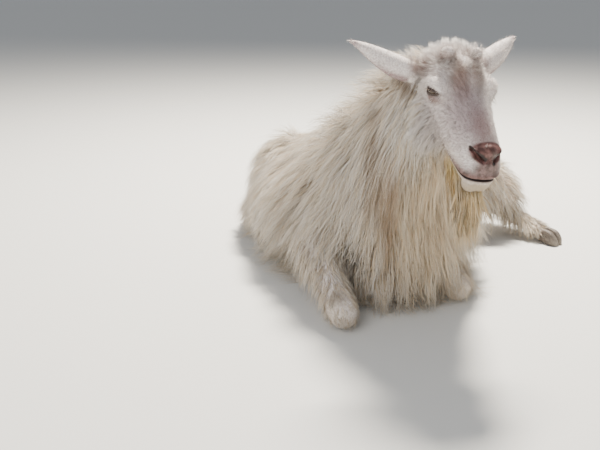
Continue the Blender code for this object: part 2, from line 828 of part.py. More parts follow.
def hoof_after(name, rows, sole):
    """The hoof that carries on from the last row of a cannon."""
    last = Vector(rows[-1][:3])
    before = Vector(rows[-2][:3])
    return make_hoof(name, last + (last - before) * 0.02, last - before, sole)


def turned_over(rows, shift):
    """Limb rows mirrored to the left side and moved by SHIFT."""
    x_move, y_move, z_move = shift
    return [
        (-x + x_move, y + y_move, z + z_move, half, tall) for x, y, z, half, tall in rows
    ]


def cover_of(objects):
    """A search tree over the faces of all the OBJECTS."""
    points, faces = [], []
    for obj in objects:
        start = len(points)
        points += [vertex.co.copy() for vertex in obj.data.vertices]
        faces += [[start + corner for corner in face.vertices] for face in obj.data.polygons]
    return BVHTree.FromPolygons(points, faces)


class Lock:
    """One flat, tapered lock: its path, the way its flat side faces, and its width."""

    def __init__(self, path, facing, width):
        self.path = path
        self.facing = facing
        self.width = width

    def share_of_width(self, share):
        """Widest a third of the way down, then narrowing slowly to a blunt tip."""
        swell = LOCK_ROOT_WIDTH + (1 - LOCK_ROOT_WIDTH) * math.sin(0.5 * math.pi * min(1, share * 3))
        return swell * (1 - (1 - LOCK_TIP_WIDTH) * share**2.6)

    def solid(self, by=0.0):
        """The lock as a closed body of three sides, larger by BY all round."""
        rings = []
        last = len(self.path) - 1
        for index, place in enumerate(self.path):
            share = index / last
            run = self.path[min(index + 1, last)] - self.path[max(index - 1, 0)]
            run.normalize()
            outward = self.facing[index]
            outward = (outward - run * outward.dot(run)).normalized()
            across = run.cross(outward)
            half = 0.5 * self.width * self.share_of_width(share)
            tall = self.width * LOCK_FLATNESS * self.share_of_width(share)
            # a thin edge needs this much more width to clear both its faces
            half += by * LOCK_EDGE
            place = place + run * by * (4 * share - 2)
            below = place - outward * (0.3 * tall + 1.2 * by)
            above = place + outward * (tall + 1.4 * by)
            rings.append([below - across * half, below + across * half, above])
        lowest = -3 * by
        for ring in rings:
            for corner in ring:
                corner.z = max(corner.z, lowest)
        return skin_rings("lock", rings, slanted=True)


class Clad:
    """A core and the locks rooted in it, kept to cut their beds in the neighbours."""

    def __init__(self, core, locks=()):
        self.mesh = core.data.copy()
        self.locks = locks

    def beds(self):
        core = add_object("bed", self.mesh.copy())
        beds = [grown(core)] + [lock.solid(GAP) for lock in self.locks]
        bpy.data.objects.remove(core, do_unlink=True)
        return beds


class Coat:
    """The bodies and the locks laid so far, which each new lock lies over."""

    def __init__(self, bodies):
        self.points = []
        self.faces = []
        for body in bodies:
            self.add(body)
        self.skin = BVHTree.FromPolygons(self.points, self.faces)
        self.cover = self.skin

    def add(self, body):
        start = len(self.points)
        self.points += [vertex.co.copy() for vertex in body.data.vertices]
        for face in body.data.polygons:
            self.faces.append([start + corner for corner in face.vertices])

    def outward(self, place):
        """The way out of the skin nearest to PLACE."""
        return self.skin.find_nearest(place)[1]

    def raised(self, place, outward, least):
        """How far PLACE has to move OUTWARD to lie LEAST above all that is there."""
        start = place + outward * LOCK_SEARCH
        hit = self.cover.ray_cast(start, -outward, LOCK_SEARCH + least)[0]
        if hit is None:
            return 0.0
        return max(0.0, least - (place - hit).dot(outward))

    def lay(self, root, normal, heading, size, lift, draw):
        """A lock from under the skin at ROOT, along HEADING, hanging down over the coat."""
        length, width = size
        heading = heading - normal * heading.dot(normal)
        side = normal.cross(heading).normalized()
        heading = (heading.normalized() + side * draw.uniform(-0.18, 0.18)).normalized()
        length *= draw.uniform(0.88, 1.12)
        width *= draw.uniform(0.90, 1.10)
        steps = max(3, round(length / LOCK_STEP))
        step = length / steps
        place = root.copy()
        path = [root - normal * LOCK_SUNK]
        facing = [normal]
        run = (heading + normal * 0.35).normalized()
        for index in range(steps):
            share = (index + 1) / steps
            run = (run + Vector((0, 0, -LOCK_WEIGHT)) + side * draw.uniform(-0.07, 0.07)).normalized()
            ahead = place + run * step
            outward = self.outward(ahead)
            across = run.cross(outward).normalized() * width * 0.4
            least = LOCK_CLEAR + lift * share
            spots = (ahead, ahead + across, ahead - across)
            ahead = ahead + outward * max(self.raised(spot, outward, least) for spot in spots)
            if ahead.z < LOCK_FLOOR:
                flat = Vector((outward.x, outward.y, 0))
                ahead += flat * (LOCK_FLOOR - ahead.z) * 0.8
                ahead.z = LOCK_FLOOR
            run = (ahead - place).normalized()
            place = place + run * min(step * 1.15, (ahead - place).length)
            path.append(place)
            facing.append((outward + Vector((0, 0, 0.15))).normalized())
        lock = Lock(path, facing, width)
        solid = lock.solid()
        self.add(solid)
        bpy.data.objects.remove(solid, do_unlink=True)
        self.cover = BVHTree.FromPolygons(self.points, self.faces)
        return lock


def surface_at(cover, centre, way):
    """Where a ray from CENTRE along WAY last leaves COVER, and the surface's direction there."""
    found = None
    start = centre
    for _ in range(8):
        place, normal, _, _ = cover.ray_cast(start, way, 1.0)
        if place is None:
            break
        found = (place, normal if normal.dot(way) > 0 else -normal)
        start = place + way * 0.0005
    return found


def free_root(body_tree, others, centre, way):
    """The root that a ray from CENTRE finds on a body, unless another body buries it."""
    found = surface_at(body_tree, centre, way)
    if found is None:
        return None
    root, normal = found
    for tree in others:
        near, face_normal, _, away = tree.find_nearest(root)
        inside = (root - near).dot(face_normal) < 0 and away < ROOT_BURIED
        if inside or away < ROOT_CLEAR:
            return None
    return root, normal


def trunk_locks(core, others, coat, draw):
    """Rows of locks from the flanks up to the spine, round the seat and on the breast."""
    tree = cover_of([core])
    others = [cover_of([other]) for other in others]
    middles = smooth_rows(TRUNK_ROWS, 4)
    locks = []

    def middle_at(along):
        row = min(middles, key=lambda item: abs(item[0] - along))
        return Vector((row[1], along, row[2] + 0.45 * (row[3] - row[2])))

    def grow(centre, way, heading, size, lift):
        found = free_root(tree, others, centre, way)
        if found:
            locks.append(coat.lay(*found, heading, size, lift, draw))

    for height, turns, length, width in BREAST_LOCKS:
        for turn in turns:
            angle = math.radians(turn + draw.uniform(-5, 5))
            way = Vector((math.sin(angle), -math.cos(angle), 0.0))
            heading = Vector((0.25 * way.x, 0, -1.0))
            grow(Vector((0, 0.02, height)), way, heading, (length, width), 0.010)
    for row, (turn, first, last, count, length, width, lift) in enumerate(TRUNK_LOCKS):
        for side in (-1, 1):
            for index in range(count):
                along = first + (last - first) * (index + 0.5 * (row % 2)) / (count - 1)
                along += draw.uniform(-0.010, 0.010)
                angle = math.radians(turn + draw.uniform(-4, 4))
                way = Vector((side * math.sin(angle), 0, math.cos(angle)))
                heading = Vector((side * 0.8, 0.30, -1.0))
                grow(middle_at(along), way, heading, (length, width), lift)
    for turn in SEAT_LOCKS:
        for side in (-1, 1):
            angle = math.radians(turn)
            way = Vector((side * math.sin(angle), 0.75, 0.6 * math.cos(angle))).normalized()
            seat = middle_at(TRUNK_ROWS[1][0]) - Vector((0, 0.06, 0))
            grow(seat, way, Vector((side * 0.2, 0.2, -1.0)), SEAT_LOCK_SIZE, 0.010)
    first, last, count, length, width, lift = SPINE_LOCKS
    for index in range(count):
        side = 1 if index % 2 else -1
        along = first + (last - first) * index / (count - 1)
        heading = Vector((side * 0.7, 0.8, -0.2))
        grow(middle_at(along), Vector((side * 0.03, 0, 1)), heading, (length, width), lift)
    return locks


def ring_locks(rows, share, turns, bodies, coat, draw, heading_of, size, lift, up):
    """Locks round a limb or the neck at one place along it, at the given TURNS from UP."""
    tree, others = bodies
    path = smooth_rows(rows, 6)
    place = share * (len(path) - 1)
    index = min(int(place), len(path) - 2)
    here = Vector(path[index][:3]).lerp(Vector(path[index + 1][:3]), place - index)
    run = (Vector(path[index + 1][:3]) - Vector(path[index][:3])).normalized()
    across = run.cross(up).normalized()
    rise = across.cross(run).normalized()
    locks = []
    for turn in turns:
        angle = math.radians(turn + draw.uniform(-5, 5))
        way = rise * math.cos(angle) + across * math.sin(angle)
        found = free_root(tree, others, here, way)
        if found:
            heading = heading_of(run, way)
            locks.append(coat.lay(*found, heading, size, lift, draw))
    return locks


def neck_locks(core, others, coat, draw):
    bodies = (cover_of([core]), [cover_of([other]) for other in others])
    locks = []

    def heading_of(run, way):
        return Vector((0.35 * way.x, 0.15 + 0.25 * way.y, -1.0)) - run * 0.6

    for share, count, first, last, length, width, lift in NECK_LOCKS:
        turns = []
        for index in reversed(range(count)):
            turn = first + (last - first) * index / (count - 1)
            turns += [turn, -turn]
        locks += ring_locks(
            NECK_ROWS, share, turns, bodies, coat, draw, heading_of, (length, width), lift,
            Vector((0, 1, 0)),
        )
    return locks


def limb_locks(rows, core, others, coat, draw, table):
    """Locks over the upper side of a thigh or shank, laid out and down along it."""
    bodies = (cover_of([core]), [cover_of([other]) for other in others])
    locks = []

    def heading_of(run, way):
        return run * 0.8 + Vector((0.5 * way.x, 0.5 * way.y, -0.9))

    for share, turns, length, width in table:
        locks += ring_locks(
            rows, share, turns, bodies, coat, draw, heading_of, (length, width), 0.006,
            Vector((0, 0, 1)),
        )
    return locks


def tail_locks(core, others, coat, draw):
    bodies = (cover_of([core]), [cover_of([other]) for other in others])
    locks = []

    def heading_of(run, way):
        return run + Vector((0.3 * way.x, 0.3, -0.5))

    for share, count, length, width in TAIL_LOCKS:
        turns = [360 * index / count for index in range(count)]
        locks += ring_locks(
            TAIL_CORE, share, turns, bodies, coat, draw, heading_of, (length, width), 0.004,
            Vector((0, 0, 1)),
        )
    return locks


def make_beard():
    """The pad of hair under the jaw and the fall of hair from it, one smooth form to its tip."""
    fall = Matrix.Rotation(-JAW_FALL, 4, "X")
    pad = ball("beard", BEARD_PLACE, BEARD_PAD, fall, 16, 10)
    hair = limb("fall", BEARD_ROWS, 3, BEARD_SIDES, Vector((0, 1, 0)))
    return combine(pad, [hair], "UNION", "MANIFOLD")


def add_locks(obj, locks):
    """Fuses all the locks to the core they are rooted in."""
    return combine(obj, [lock.solid() for lock in locks], "UNION", "MANIFOLD")


def make_legs():
    """The pieces of the four limbs, from the trunk out."""
    legs = {}
    for side, shift in (("right", None), ("left", FORE_LEFT_SHIFT)):
        forearm, cannon = FOREARM_RIGHT, FRONT_CANNON_RIGHT
        if shift:
            forearm = turned_over(forearm, shift)
            cannon = turned_over(cannon, shift)
        for piece in (
            limb("forearm_" + side, forearm, 1),
            limb("front_cannon_" + side, cannon, 1),
            hoof_after("front_hoof_" + side, cannon, Vector((0, 0, 1))),
        ):
            legs[piece.name] = cut_to_floor(piece)
    for side, thigh, shank, cannon, sole in (
        ("right", THIGH_RIGHT, SHANK_RIGHT, HIND_CANNON_RIGHT, Vector((1, 0, -0.3))),
        ("left", THIGH_LEFT, SHANK_LEFT, HIND_CANNON_LEFT, Vector((0, 0, -1))),
    ):
        for piece in (
            limb("thigh_" + side, thigh),
            limb("shank_" + side, shank),
            limb("hind_cannon_" + side, cannon, 1),
            hoof_after("hind_hoof_" + side, cannon, sole),
        ):
            legs[piece.name] = cut_to_floor(piece)
    return legs


def part_legs(legs, clads):
    """Cuts each piece of a limb back where it meets the pieces above it and its hoof."""
    for side in ("right", "left"):
        upper, middle, hoof = "thigh_" + side, "shank_" + side, "hind_hoof_" + side
        clear_of(legs["front_cannon_" + side], [legs["forearm_" + side], legs["front_hoof_" + side]])
        clear_of_clad(legs[middle], [clads[upper]])
        clear_of_clad(legs[hoof], [clads[upper]])
        clear_of_clad(legs["hind_cannon_" + side], [clads[upper], clads[middle], clads[hoof]])


def main():
    clear_scene()
    head = make_head()
    ears = [make_ear("ear_right", -1), make_ear("ear_left", 1)]
    for ear in ears:
        clear_of(ear, [head])
    neck_body = neck("neck", CORE_REACH)
    legs = make_legs()
    tail = limb("tail", TAIL_CORE, 2, 8)
    torso = cut_to_floor(trunk("torso", CORE_REACH))
    limbs = list(legs.values())
    thighs = [legs["thigh_right"], legs["thigh_left"]]
    coat = Coat([torso, neck_body, head, tail] + limbs)

    leg_hair = {}
    shank_draw = random.Random(SHANK_SEED)
    thigh_draw = random.Random(THIGH_SEED)
    for name, rows, table, others, draw in (
        ("shank_left", SHANK_LEFT, SHANK_LEFT_LOCKS, [legs["thigh_left"]], shank_draw),
        ("thigh_left", THIGH_LEFT, THIGH_LEFT_LOCKS, [torso, legs["shank_left"]], thigh_draw),
        ("thigh_right", THIGH_RIGHT, THIGH_RIGHT_LOCKS, [torso], thigh_draw),
    ):
        leg_hair[name] = limb_locks(rows, legs[name], others, coat, draw, table)
    brush = tail_locks(tail, [torso], coat, random.Random(TAIL_SEED))
    fleece = trunk_locks(torso, [neck_body, tail] + thighs, coat, random.Random(TRUNK_SEED))
    ruff = neck_locks(neck_body, [torso, head], coat, random.Random(NECK_SEED))

    clads = {name: Clad(leg, leg_hair.get(name, ())) for name, leg in legs.items()}
    clads["torso"] = Clad(torso, fleece)
    clads["head"] = Clad(head)
    for ear in ears:
        clads[ear.name] = Clad(ear)
    beard = make_beard()
    clads["beard"] = Clad(beard)
    clear_of_clad(beard, [clads["head"]])
    finish_head(head)
    eyes = [make_eye("eye_right", -1), make_eye("eye_left", 1)]
    for name, locks in leg_hair.items():
        add_locks(legs[name], locks)
    part_legs(legs, clads)
    add_locks(torso, fleece)
    clear_of_clad(torso, [clads[name] for name in legs])
    combine(torso, [grown(legs[name], SLIGHT) for name in leg_hair], "DIFFERENCE", "MANIFOLD")
    add_locks(tail, brush)
    clear_of_clad(tail, [clads["torso"]])
    add_locks(neck_body, ruff)
    clear_of_clad(neck_body, clads.values())

    white = finish("white_coat", WHITE_COAT)
    cream = finish("cream_coat", CREAM_COAT)
    horn = finish("hoof_grey", HOOF_GREY)
    amber = finish("eye_amber", EYE_AMBER)
    for eye in eyes:
        eye.data.materials.append(amber)
    for piece in [head, torso, tail] + ears:
        piece.data.materials.append(white)
    for piece in (neck_body, beard):
        piece.data.materials.append(cream)
    for name, piece in legs.items():
        piece.data.materials.append(horn if "hoof" in name else white)
    for obj in bpy.context.scene.objects:
        obj.data.shade_flat()


main()
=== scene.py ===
"""The looks of a long-haired, hornless white goat that lies on its breast, life size.

Metres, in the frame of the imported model: the goat looks along -Y, its right side is at -X, and
the origin is on the floor under the breastbone. One skin stands for the flesh. The coat over it
is made of thin, tapered tufts that follow guide locks, and each guide hangs over the skin as
long hair does.
"""

import math

import bmesh
import bpy
import numpy as np
from mathutils import Matrix, Vector
from mathutils.bvhtree import BVHTree
from mathutils.kdtree import KDTree


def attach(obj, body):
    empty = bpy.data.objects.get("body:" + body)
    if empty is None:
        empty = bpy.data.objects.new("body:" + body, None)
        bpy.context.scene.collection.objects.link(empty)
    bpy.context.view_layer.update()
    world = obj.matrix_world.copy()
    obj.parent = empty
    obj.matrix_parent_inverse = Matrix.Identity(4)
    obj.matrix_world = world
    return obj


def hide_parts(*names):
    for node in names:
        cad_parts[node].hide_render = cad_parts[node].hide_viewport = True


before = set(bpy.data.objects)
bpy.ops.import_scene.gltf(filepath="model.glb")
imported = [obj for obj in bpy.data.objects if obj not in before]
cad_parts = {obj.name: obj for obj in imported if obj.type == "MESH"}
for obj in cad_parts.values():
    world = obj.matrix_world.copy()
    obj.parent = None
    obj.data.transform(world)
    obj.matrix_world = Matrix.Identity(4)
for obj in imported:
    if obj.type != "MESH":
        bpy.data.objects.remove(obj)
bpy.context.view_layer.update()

# Camera: place, heading over the floor, fall in degrees and lens in millimetres.
CAMERA_PLACE = (-0.735, -1.853, 0.80)
CAMERA_HEADING = (0.259, 0.966)
CAMERA_FALL = 18
CAMERA_LENS = 48

# Trunk, from the seat to the breast: place along the body, middle, lowest, highest, half width,
# coat depth on top, coat depth at the side.
TRUNK_ROWS = [
    (0.715, -0.025, 0.110, 0.185, 0.035, 0.020, 0.030),
    (0.690, -0.025, 0.070, 0.228, 0.085, 0.022, 0.035),
    (0.620, -0.025, 0.002, 0.262, 0.145, 0.024, 0.045),
    (0.530, -0.020, -0.012, 0.290, 0.175, 0.024, 0.055),
    (0.420, -0.010, -0.012, 0.315, 0.192, 0.024, 0.062),
    (0.300, 0.000, -0.012, 0.345, 0.205, 0.024, 0.068),
    (0.180, 0.004, -0.012, 0.382, 0.198, 0.026, 0.080),
    (0.060, 0.004, -0.012, 0.412, 0.172, 0.030, 0.090),
    (-0.030, 0.002, -0.010, 0.400, 0.148, 0.035, 0.075),
    (-0.100, 0.000, -0.004, 0.340, 0.128, 0.040, 0.050),
    (-0.145, 0.000, 0.030, 0.260, 0.095, 0.040, 0.040),
    (-0.172, 0.000, 0.080, 0.200, 0.045, 0.035, 0.035),
]
TRUNK_WIDEST = 0.40

# Neck, from inside the chest to behind the skull: middle x, y, z, half width, half depth, coat
# depth at the sides, coat depth in front and behind.
NECK_ROWS = [
    (0.002, 0.040, 0.235, 0.110, 0.130, 0.050, 0.045),
    (0.004, -0.020, 0.305, 0.102, 0.130, 0.055, 0.050),
    (0.008, -0.082, 0.385, 0.086, 0.112, 0.055, 0.052),
    (0.014, -0.145, 0.463, 0.072, 0.092, 0.045, 0.050),
    (0.018, -0.198, 0.528, 0.064, 0.076, 0.030, 0.036),
    (0.018, -0.238, 0.565, 0.060, 0.064, 0.015, 0.022),
]

# The poll, which the head is measured from: across, forward and up. The head is turned and
# tilted a little to its left.
POLL = Vector((0.0165, -0.289, 0.628))
HEAD_TURN = math.radians(10)
HEAD_TILT = math.radians(4)

# Skull and muzzle, one sloping section to a row: the face line's place forward and up of the
# poll, the jaw line's, and half the width.
HEAD_ROWS = [
    (-0.056, -0.030, -0.064, -0.082, 0.024),
    (-0.034, -0.008, -0.052, -0.116, 0.046),
    (0.004, 0.006, -0.030, -0.141, 0.058),
    (0.038, -0.008, -0.008, -0.157, 0.065),
    (0.067, -0.046, 0.014, -0.173, 0.067),
    (0.090, -0.080, 0.036, -0.191, 0.061),
    (0.111, -0.107, 0.056, -0.209, 0.054),
    (0.129, -0.131, 0.076, -0.227, 0.050),
    (0.143, -0.150, 0.096, -0.243, 0.047),
    (0.153, -0.167, 0.114, -0.257, 0.044),
    (0.160, -0.185, 0.130, -0.263, 0.039),
    (0.164, -0.202, 0.146, -0.258, 0.029),
    (0.166, -0.216, 0.157, -0.247, 0.013),
]

# Rounded forms set into both sides of the head: half spacing, place forward and up of the poll,
# then the half sizes across, along and square to the face line.
FACE_FALL = math.radians(52)
HEAD_ROUNDS = [
    # orbits
    (0.057, 0.046, -0.073, 0.024, 0.032, 0.024),
    # cheeks
    (0.038, 0.012, -0.128, 0.029, 0.048, 0.040),
    # horn knobs
    (0.035, 0.030, -0.002, 0.016, 0.015, 0.016),
    # upper lips
    (0.022, 0.134, -0.213, 0.024, 0.028, 0.023),
    # wings of the nostrils
    (0.018, 0.146, -0.182, 0.018, 0.016, 0.014),
    # chin and lower lip
    (0.011, 0.128, -0.250, 0.021, 0.019, 0.024),
]

# Eyes: place of the ball's centre, its radius, and the lids' thickness and opening.
EYE_PLACE = (0.0630, 0.044, -0.077)
EYE_RADIUS = 0.0165
LID_THICK = 0.0032
LID_HALF_OPENING = 0.0038
LID_HALF_LENGTH = 0.0175
LID_AHEAD = -0.001
LID_SLOPE = math.radians(9)

# Mouth line and nostrils.
MOUTH_CORNER = (0.072, -0.200)
MOUTH_FRONT = (0.172, -0.242)
MOUTH_BOW = -0.010
NOSTRIL_PLACE = (0.0165, 0.157, -0.186)

# Ears: root and tip from the poll, the bow of the leaf, and its thickness.
EAR_ROOT = Vector((0.062, 0.036, -0.060))
EAR_TIP = Vector((0.196, 0.100, 0.016))
EAR_BOW = 0.014
EAR_THICK = 0.0035
# Share of the length, half width, and half turn of the leaf round its cup in degrees.
EAR_ROWS = [
    (0.00, 0.0180, 165),
    (0.12, 0.0225, 150),
    (0.30, 0.0255, 125),
    (0.50, 0.0245, 105),
    (0.70, 0.0195, 92),
    (0.88, 0.0110, 80),
    (1.00, 0.0030, 70),
]

# Limbs. Each row is a place on the limb's middle, then its half width and half height.
FOREARM_RIGHT = [
    (-0.150, 0.045, 0.165, 0.050, 0.060),
    (-0.190, 0.010, 0.122, 0.050, 0.056),
    (-0.200, -0.070, 0.100, 0.040, 0.044),
    (-0.204, -0.150, 0.078, 0.034, 0.036),
    (-0.205, -0.215, 0.056, 0.038, 0.040),
    (-0.205, -0.250, 0.043, 0.042, 0.042),
    (-0.204, -0.278, 0.034, 0.034, 0.034),
    (-0.204, -0.290, 0.030, 0.016, 0.018),
]
FORE_LEFT_SHIFT = (-0.084, 0.084, 0.0)
FRONT_CANNON_RIGHT = [
    (-0.205, -0.245, 0.026, 0.028, 0.027),
    (-0.202, -0.190, 0.022, 0.022, 0.022),
    (-0.196, -0.120, 0.020, 0.019, 0.020),
    (-0.190, -0.075, 0.022, 0.023, 0.023),
    (-0.186, -0.035, 0.020, 0.019, 0.020),
]
THIGH_RIGHT = [
    (-0.112, 0.610, 0.190, 0.060, 0.080),
    (-0.128, 0.560, 0.182, 0.084, 0.108),
    (-0.150, 0.470, 0.158, 0.090, 0.110),
    (-0.178, 0.385, 0.135, 0.080, 0.094),
    (-0.198, 0.325, 0.115, 0.058, 0.068),
    (-0.205, 0.295, 0.105, 0.030, 0.036),
]
SHANK_RIGHT = [
    (-0.205, 0.320, 0.105, 0.050, 0.060),
    (-0.218, 0.390, 0.098, 0.050, 0.060),
    (-0.228, 0.470, 0.082, 0.042, 0.048),
    (-0.232, 0.540, 0.064, 0.034, 0.038),
    (-0.234, 0.585, 0.048, 0.030, 0.034),
    (-0.234, 0.610, 0.040, 0.018, 0.022),
]
HIND_CANNON_RIGHT = [
    (-0.236, 0.590, 0.030, 0.026, 0.027),
    (-0.242, 0.530, 0.022, 0.022, 0.022),
    (-0.248, 0.465, 0.020, 0.020, 0.020),
    (-0.250, 0.425, 0.022, 0.024, 0.023),
    (-0.248, 0.385, 0.020, 0.020, 0.020),
]
THIGH_LEFT = [
    (0.095, 0.580, 0.215, 0.075, 0.080),
    (0.118, 0.545, 0.215, 0.100, 0.105),
    (0.172, 0.480, 0.202, 0.100, 0.115),
    (0.228, 0.425, 0.186, 0.088, 0.108),
    (0.278, 0.385, 0.172, 0.068, 0.088),
    (0.303, 0.362, 0.165, 0.038, 0.054),
]
SHANK_LEFT = [
    (0.272, 0.388, 0.172, 0.066, 0.084),
    (0.335, 0.364, 0.164, 0.074, 0.092),
    (0.400, 0.346, 0.150, 0.078, 0.094),
    (0.458, 0.332, 0.130, 0.072, 0.084),
    (0.502, 0.316, 0.106, 0.055, 0.062),
    (0.530, 0.300, 0.088, 0.026, 0.030),
]
HIND_CANNON_LEFT = [
    (0.488, 0.318, 0.082, 0.030, 0.033),
    (0.517, 0.280, 0.060, 0.025, 0.027),
    (0.547, 0.238, 0.041, 0.022, 0.023),
    (0.562, 0.212, 0.031, 0.026, 0.026),
    (0.575, 0.185, 0.024, 0.022, 0.023),
]
TAIL_ROWS = [
    (-0.025, 0.640, 0.225, 0.022, 0.018),
    (-0.025, 0.700, 0.222, 0.022, 0.017),
    (-0.026, 0.738, 0.205, 0.020, 0.015),
    (-0.027, 0.758, 0.175, 0.014, 0.010),
    (-0.028, 0.764, 0.155, 0.005, 0.004),
]
# How much thinner the skin of a limb is than its solid, which includes the short hair.
LIMB_HAIR = {"forearm": 0.006, "front_cannon": 0.003, "thigh": 0.010, "shank": 0.007,
             "hind_cannon": 0.003, "tail": 0.003}

# Hooves: height and length of the claws, and the cleft between them.
HOOF_HEIGHT = 0.040
HOOF_LENGTH = 0.066
HOOF_CLEFT = 0.0045
# Distance from the coronet as a share of the length, half width, half height.
HOOF_ROWS = [
    (0.00, 0.0195, 0.0190),
    (0.25, 0.0235, 0.0215),
    (0.55, 0.0250, 0.0210),
    (0.82, 0.0215, 0.0150),
    (1.00, 0.0110, 0.0060),
]

# Lowest place of skin and hair over the floor.
FLOOR = 0.0015
SEED = 11


# Forms

def smooth_rows(rows, steps):
    """Rows of numbers read off one smooth curve through the given rows, STEPS to a stretch."""
    rows = np.array(rows, float)
    held = np.vstack([2 * rows[0] - rows[1], rows, 2 * rows[-1] - rows[-2]])
    found = []
    for index in range(len(rows) - 1):
        before, start, end, after = held[index : index + 4]
        for step in range(steps):
            t = step / steps
            bend = 2 * before - 5 * start + 4 * end - after
            twist = 3 * (start - end) + after - before
            found.append(start + 0.5 * t * (end - before + t * (bend + t * twist)))
    found.append(rows[-1])
    return np.array(found)


def add_object(name, mesh):
    obj = bpy.data.objects.new(name, mesh)
    bpy.context.scene.collection.objects.link(obj)
    return obj


def close_up(mesh):
    """Triangles, with every face pointing out."""
    shape = bmesh.new()
    shape.from_mesh(mesh)
    bmesh.ops.triangulate(shape, faces=shape.faces)
    bmesh.ops.recalc_face_normals(shape, faces=shape.faces)
    shape.to_mesh(mesh)
    shape.free()


def skin_rings(name, rings):
    """A closed body through rings of points, with a flat end at each side."""
    sides = len(rings[0])
    points = [tuple(point) for ring in rings for point in ring]
    faces = []
    for index in range(len(rings) - 1):
        for side in range(sides):
            here = index * sides + side
            beside = index * sides + (side + 1) % sides
            faces.append((here, beside, beside + sides, here + sides))
    faces.append(tuple(range(sides)))
    faces.append(tuple(range(len(points) - sides, len(points))))
    mesh = bpy.data.meshes.new(name)
    mesh.from_pydata(points, [], faces)
    close_up(mesh)
    return add_object(name, mesh)


def bulge(value, power):
    """A sine or cosine pushed towards a squarer outline by a power over 2."""
    return math.copysign(abs(value) ** (2 / power), value)


def limb(name, rows, steps, sides, up=Vector((0, 0, 1)), thinner=0.0):
    """A rounded body along a path, its rings square to the path."""
    rows = smooth_rows(rows, steps)
    path = [Vector(row[:3]) for row in rows]
    rings = []
    for index, row in enumerate(rows):
        ahead = path[min(index + 1, len(path) - 1)]
        behind = path[max(index - 1, 0)]
        run = (ahead - behind).normalized()
        across = run.cross(up).normalized()
        rise = across.cross(run).normalized()
        half = max(row[3] - thinner, 0.004)
        tall = max(row[4] - thinner, 0.004)
        ring = []
        for side in range(sides):
            turn = 2 * math.pi * side / sides
            reach = across * half * math.cos(turn) + rise * tall * math.sin(turn)
            ring.append(path[index] + reach)
        rings.append(ring)
    return skin_rings(name, rings)


def trunk(name, sides=48):
    rings = []
    for along, middle, low, high, half, _, _ in smooth_rows(TRUNK_ROWS, 4):
        widest = low + TRUNK_WIDEST * (high - low)
        ring = []
        for side in range(sides):
            turn = 2 * math.pi * side / sides
            rise = bulge(math.sin(turn), 2.2)
            tall = high - widest if rise > 0 else widest - low
            ring.append((middle + half * bulge(math.cos(turn), 2.2), along, widest + tall * rise))
        rings.append(ring)
    return skin_rings(name, rings)


def head_frame():
    """Turns (across, forward, up) from the poll into world coordinates."""
    facing = Matrix(((1, 0, 0), (0, -1, 0), (0, 0, 1))).to_4x4()
    turn = Matrix.Rotation(HEAD_TURN, 4, "Z") @ Matrix.Rotation(HEAD_TILT, 4, "Y")
    return Matrix.Translation(POLL) @ turn @ facing


def ball(name, centre, sizes, turn=None, segments=40, rings=24):
    """An ellipsoid with its half SIZES, set in the head's frame."""
    mesh = bpy.data.meshes.new(name)
    shape = bmesh.new()
    bmesh.ops.create_uvsphere(shape, u_segments=segments, v_segments=rings, radius=1)
    place = Matrix.Translation(Vector(centre))
    if turn is not None:
        place = place @ turn
    place = head_frame() @ place @ Matrix.Diagonal((*sizes, 1))
    bmesh.ops.transform(shape, matrix=place, verts=shape.verts)
    bmesh.ops.recalc_face_normals(shape, faces=shape.faces)
    shape.to_mesh(mesh)
    shape.free()
    return add_object(name, mesh)


def skull(name, sides=64):
    place_of = head_frame()
    rings = []
    for face_ahead, face_up, jaw_ahead, jaw_up, half in smooth_rows(HEAD_ROWS, 5):
        face = Vector((0, face_ahead, face_up))
        jaw = Vector((0, jaw_ahead, jaw_up))
        ring = []
        for side in range(sides):
            turn = 2 * math.pi * side / sides
            rise = bulge(math.sin(turn), 2.3)
            across = half * bulge(math.cos(turn), 2.5) * (1 - 0.22 * max(0.0, -rise))
            place = jaw.lerp(face, 0.5 + 0.5 * rise)
            ring.append(place_of @ (place + Vector((across, 0, 0))))
        rings.append(ring)
    return skin_rings(name, rings)


def bake_modifiers(obj):
    graph = bpy.context.evaluated_depsgraph_get()
    mesh = bpy.data.meshes.new_from_object(obj.evaluated_get(graph))
    obj.modifiers.clear()
    obj.data = mesh
    return obj


def join(name, pieces):
    """One object that holds the meshes of all the pieces, which are removed."""
    shape = bmesh.new()
    for piece in pieces:
        shape.from_mesh(piece.data)
        bpy.data.objects.remove(piece, do_unlink=True)
    mesh = bpy.data.meshes.new(name)
    shape.to_mesh(mesh)
    shape.free()
    return add_object(name, mesh)


def melt(obj, voxel, rounds):
    """Melts the overlapping pieces of OBJ into one soft form."""
    change = obj.modifiers.new("melt", "REMESH")
    change.mode = "VOXEL"
    change.voxel_size = voxel
    soften = obj.modifiers.new("soften", "SMOOTH")
    soften.factor = 0.5
    soften.iterations = rounds
    return bake_modifiers(obj)


def combine(obj, other, operation, solver="EXACT"):
    change = obj.modifiers.new("change", "BOOLEAN")
    change.operation = operation
    change.object = other
    change.solver = solver
    bake_modifiers(obj)
    bpy.data.objects.remove(other, do_unlink=True)
    return obj


def turned_over(rows, shift):
    """Limb rows mirrored to the left side and moved by SHIFT."""
    x_move, y_move, z_move = shift
    return [(-x + x_move, y + y_move, z + z_move, half, tall) for x, y, z, half, tall in rows]


